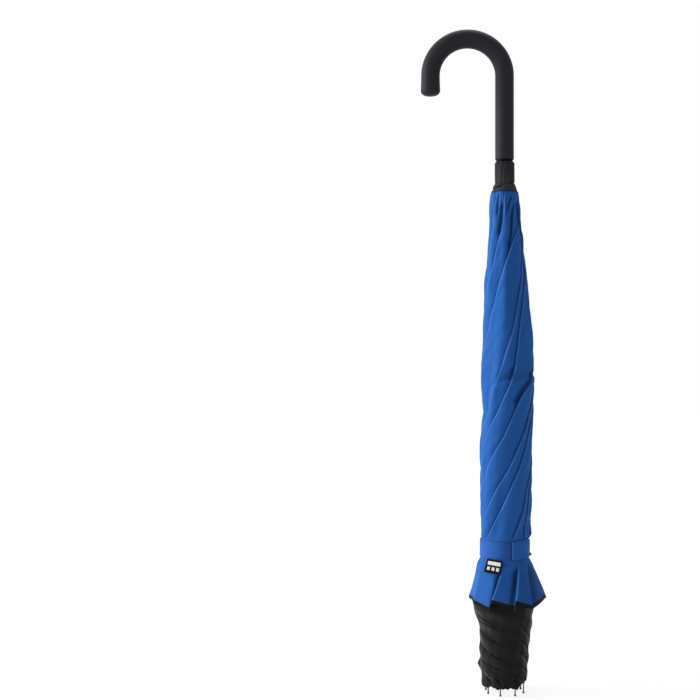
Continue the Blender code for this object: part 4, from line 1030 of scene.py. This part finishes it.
class UMBRELLA_OT_strap(bpy.types.Operator):
    """Adds the closing strap, its free end, the nub that it buttons to and the woven label"""

    bl_idname = "umbrella.strap"
    bl_label = "Strap"

    def execute(self, context):
        settings = context.scene.umbrella_strap
        material = strap_material(
            "strap_cloth", tuple(settings.colour), STRAP_LOW, STRAP_HIGH, settings.edge_stitch)
        inner = STRAP_RADIUS - STRAP_THICKNESS
        root, sewn, free = (math.radians(place) for place in (-1, 302, -79.5))

        def past_end(angle):
            """How far round from the free end."""
            return wrapped(angle - free) * STRAP_RADIUS

        def band(angle):
            """The band's radius, rise and painted light: round and level, with painted shade under the free
            end.
            """
            painted_shading = -bell(past_end(angle), -0.0007, 0.0008) - 0.45 * bell(past_end(angle), -0.006, 0.0105)
            return inner + 0 * angle, 0 * angle, painted_shading

        def free_end(angle):
            """The free end's radius, rise and painted light: lifted over the band, climbing in its middle,
            with a painted highlight along its end.
            """
            lifted = inner + 0.0012 * smooth(-angle, -root, math.radians(25))
            climb = settings.flap_rise * np.sin(math.pi * (angle - root) / (free - root))
            return lifted, climb, bell(past_end(angle), 0.0005, 0.0007)

        strap = self.strip("strap_band", root, sewn, 420, band, material)
        settled(strap, "rib_arm_2", "closure_strap")
        flap = self.strip("strap_free_end", free, root - 0.014, 110, free_end, material)
        settled(flap, "flap", "strap_flap")
        axis = around(1.0, rib_direction(2), 0.0) - np.array((AXIS.x, AXIS.y, 0))
        anchor = around(STRAP_RADIUS, rib_direction(2), STRAP_LOW)
        for piece in (strap, flap, self.nub()):
            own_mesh(piece)
        self.label(settings)
        return {"FINISHED"}

    def strip(self, name, start, end, steps, shape, material):
        """A strip of strap between two directions, with rounded edges and a slight wave. Shape gives its
        radius, rise and painted light at each direction."""
        tall = STRAP_HIGH - STRAP_LOW
        angle, share = np.meshgrid(np.linspace(start, end, steps), np.linspace(1, 0, 15))
        radius, rise, painted_light = shape(angle)
        swell = STRAP_THICKNESS * (0.55 + 0.45 * smooth(np.minimum(share, 1 - share) * tall, 0.0, 0.0009))
        wave = 0.00012 * np.sin(5 * angle + 4 * share) + 0.00008 * np.sin(9 * angle - 3 * share)
        level = STRAP_LOW + tall * share
        front = around(radius + swell + wave, angle, level + rise)
        back = around(radius + wave, angle, level + rise)
        uv = np.stack((angle * STRAP_RADIUS, level), axis=-1)
        piece = sheet(name, front, back, uv, material, {"painted_light": painted_light})
        return piece

    def nub(self):
        """The small plastic nub: a sphere squared off by powers of its rows' and turns' cosines and sines."""
        low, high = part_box("strap_loop")
        middle = middle_of("strap_loop") - AXIS
        rows = np.linspace(-math.pi / 2, math.pi / 2, 17)[:, None]
        turns = np.linspace(0, math.tau, 32, endpoint=False)
        full = np.cos(rows) ** 0.4
        wide = full * np.abs(np.cos(turns)) ** 0.7 * np.sign(np.cos(turns)) * 0.0024
        tall = full * np.abs(np.sin(turns)) ** 0.7 * np.sign(np.sin(turns)) * (high.z - low.z) / 2
        out = math.hypot(middle.x, middle.y) + 0.0006 + np.sin(rows) * 0.0017 + 0 * wide
        points = beside(math.atan2(middle.y, middle.x), out, wide, (low.z + high.z) / 2 + tall)
        nub = wheel("strap_nub", points, plastic_material("nub_plastic", PLASTIC_BLACK))
        return settled(nub, "rib_arm_2", "strap_loop")

    def label(self, settings):
        """A thin woven tag that hangs from the strap's lower edge: a rectangle with a low wave, turned in its
        own plane and leaning with the skirt."""
        material = label_material("label_weave", tuple(settings.label_colour), tuple(settings.label_thread),
                                  LABEL_WIDTH, LABEL_HEIGHT)
        across, down = np.meshgrid(np.linspace(-0.5, 0.5, 33), np.linspace(0, 1, 33))
        facing, turn, lean = (math.radians(place) for place in (-118, 5.5, 20))
        side, drop = across * LABEL_WIDTH, -down * LABEL_HEIGHT
        out = 0.0004 + 0.00035 * np.sin(3 * across + 4 * down) + 0.0005 * down ** 2
        aside = side * math.cos(turn) + drop * math.sin(turn)
        fall = drop * math.cos(turn) - side * math.sin(turn)
        reach = STRAP_RADIUS + 0.00065 + out * math.cos(lean) - fall * math.sin(lean)
        front = beside(facing, reach, aside, STRAP_LOW + fall * math.cos(lean) + out * math.sin(lean))
        inward = np.array((-math.cos(facing), -math.sin(facing), 0)) * LABEL_THICKNESS
        uv = np.stack((side + LABEL_WIDTH / 2, LABEL_HEIGHT + drop), axis=-1)
        piece = sheet("label_tag", front, front + inward, uv, material)
        settled(piece, "rib_arm_2", "woven_label")


class UMBRELLA_OT_metal(bpy.types.Operator):
    """Adds the round rib tips and gives the shaft, ribs, stretchers, crown and runner their finishes"""

    bl_idname = "umbrella.metal"
    bl_label = "Metal and plastic"

    def execute(self, context):
        painted = metal_material("black_steel", (0.028, 0.028, 0.030), 0.40, (0.25, 0.25, 0.26), 0.6)
        plastic = plastic_material("black_plastic", PLASTIC_BLACK)
        finishes = {
            "shaft": metal_material("plated_steel", (0.46, 0.47, 0.48), 0.30),
            "rib_": painted, "stretcher": painted, "runner_catch": painted,
            "crown": plastic, "ferrule": plastic,
            # the runner body shows only in the gap under the handle; its plastic is far darker than the other
            # black plastic, as painted shade in that gap
            "runner_body": plastic_material("runner_gap_shade_plastic", (0.0022, 0.0022, 0.0024), 0.03),
        }
        for name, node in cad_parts.items():
            for start, material in finishes.items():
                if name.startswith(start) and not name.startswith("rib_tip"):
                    node.data.materials.clear()
                    node.data.materials.append(material)
        dark = metal_material("tip_metal", (0.075, 0.075, 0.080), 0.32)
        for number in RIBS:
            self.tip(number, dark)
        return {"FINISHED"}

    def tip(self, number, material):
        """A ball-ended rod in a short socket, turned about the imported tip's middle."""
        low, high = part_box(f"rib_tip_{number}")
        socket, foot = (high.x - low.x) / 2, high.z - TIP_LENGTH
        outline = [(socket, high.z), (socket, high.z - 0.0002), (socket, foot + socket * 1.1),
                   (TIP_ROD * 1.5, foot + 0.0006), (TIP_ROD, foot)]
        outline += [(TIP_ROD, z) for z in np.linspace(foot, low.z + 0.0034, 5)[1:]]
        turns = np.linspace(-math.acos(TIP_ROD / TIP_BALL), math.asin(TIP_BALL_RISE / TIP_BALL), 14)
        outline += [(TIP_BALL * math.cos(t), low.z + TIP_BALL_RISE - TIP_BALL * math.sin(t)) for t in turns]
        rings = lathe(outline, 24, middle_of(f"rib_tip_{number}"))
        piece = wheel(f"tip_ball_{number}", rings, material)
        settled(piece, f"rib_arm_{number}", f"rib_tip_{number}")


class UMBRELLA_OT_stage(bpy.types.Operator):
    """Adds the plain pale floor, the white surround, the soft lamps and the camera"""

    bl_idname = "umbrella.stage"
    bl_label = "Stage"

    def execute(self, context):
        settings, scene = context.scene.umbrella_stage, context.scene
        lens = bpy.data.cameras.new("camera")
        lens.sensor_width, lens.lens = 36.0, settings.lens
        camera = bpy.data.objects.new("camera", lens)
        camera.location = (AXIS.x - settings.camera_aside, -settings.camera_distance, settings.camera_height)
        camera.rotation_euler = (math.pi / 2, 0, 0)
        scene.collection.objects.link(camera)
        scene.camera = camera
        scene.view_settings.view_transform = "Standard"
        self.lamp("key", (-2.06, 0.03, 1.05), 1.5, settings.key_power)
        self.lamp("fill", (0.9, -1.9, 0.8), 1.2, settings.fill_power)
        self.lamp("top", (0.1, 0.5, 2.0), 1.2, settings.top_power)
        self.surround(scene, settings.surround)
        self.floor(settings)
        return {"FINISHED"}

    def lamp(self, name, place, size, power):
        """A square soft lamp that faces the object's middle."""
        light = bpy.data.lights.new(name, "AREA")
        light.size, light.energy = size, power
        lamp = bpy.data.objects.new(name, light)
        lamp.location = place
        aim = Vector((AXIS.x, 0.0, 0.40)) - Vector(place)
        lamp.rotation_euler = aim.to_track_quat("-Z", "Y").to_euler()
        bpy.context.scene.collection.objects.link(lamp)

    def surround(self, scene, strength):
        """A world that is seen as white, and lights the object evenly at its own strength."""
        scene.world = bpy.data.worlds.new("surround")
        scene.world.use_nodes = True
        world = Nodes(scene.world.node_tree)
        background = world.tree.nodes["Background"]
        background.inputs["Color"].default_value = (1, 1, 1, 1)
        world.feed(background.inputs["Strength"], world.seen().math("MAXIMUM", strength))

    def floor(self, settings):
        """A square floor that keeps the shadow near the object and is seen as white further off."""
        shader = Shader("floor_pale", Roughness=0.9, Specular_IOR_Level=0.1)
        shader.set("Base Color", tuple(settings.floor_colour))
        glow = shader.node("ShaderNodeEmission", None, {"Color": (1, 1, 1, 1), "Strength": 1.08})
        away = shader.node(
            "ShaderNodeVectorMath", {"operation": "LENGTH"}, {0: shader.object_place()}, "Value")
        white = shader.seen() * (shader.step(away, 0.25, 1.4) * 0.18 + 0.82)
        mixed = shader.node("ShaderNodeMixShader", None, {
            0: white, 1: Wire(shader, shader.surface.outputs[0]), 2: glow})
        output = next(node for node in shader.tree.nodes if node.type == "OUTPUT_MATERIAL")
        shader.feed(output.inputs["Surface"], mixed)
        corners = np.array(((-1, -1, 0), (1, -1, 0), (1, 1, 0), (-1, 1, 0))) * settings.floor_size
        mesh_object("floor", corners, (np.array([[0, 1, 2, 3]]),), shader.material)


class UMBRELLA_PT_panel(bpy.types.Panel):
    """Lists the umbrella's groups of pieces and their settings"""

    bl_idname = "UMBRELLA_PT_panel"
    bl_label = "Reversible umbrella"
    bl_space_type = "VIEW_3D"
    bl_region_type = "UI"
    bl_category = "Umbrella"

    def draw(self, context):
        for operator, group in STEPS:
            box = self.layout.box()
            box.operator(operator.bl_idname)
            if group:
                settings = getattr(context.scene, group)
                for name in settings.bl_rna.properties.keys():
                    if name not in ("rna_type", "name"):
                        box.prop(settings, name)


STEPS = (
    (UMBRELLA_OT_stage, "umbrella_stage"),
    (UMBRELLA_OT_handle, "umbrella_handle"),
    (UMBRELLA_OT_runner, None),
    (UMBRELLA_OT_lining, "umbrella_cloth"),
    (UMBRELLA_OT_canopy, None),
    (UMBRELLA_OT_strap, "umbrella_strap"),
    (UMBRELLA_OT_metal, None),
)
GROUPS = {"umbrella_stage": StageSettings, "umbrella_cloth": ClothSettings,
          "umbrella_handle": HandleSettings, "umbrella_strap": StrapSettings}


def register():
    """Makes the settings, the operators and the panel known to Blender."""
    for name, group in GROUPS.items():
        bpy.utils.register_class(group)
        setattr(bpy.types.Scene, name, bpy.props.PointerProperty(type=group))
    for operator, _ in STEPS:
        bpy.utils.register_class(operator)
    bpy.utils.register_class(UMBRELLA_PT_panel)


def unregister():
    """Takes them away again."""
    bpy.utils.unregister_class(UMBRELLA_PT_panel)
    for operator, _ in reversed(STEPS):
        bpy.utils.unregister_class(operator)
    for name, group in GROUPS.items():
        delattr(bpy.types.Scene, name)
        bpy.utils.unregister_class(group)


def main():
    """Builds every group in order."""
    register()
    bpy.ops.umbrella.stage()
    bpy.ops.umbrella.handle()
    bpy.ops.umbrella.runner()
    bpy.ops.umbrella.lining()
    bpy.ops.umbrella.canopy()
    bpy.ops.umbrella.strap()
    bpy.ops.umbrella.metal()


if __name__ == "__main__":
    main()
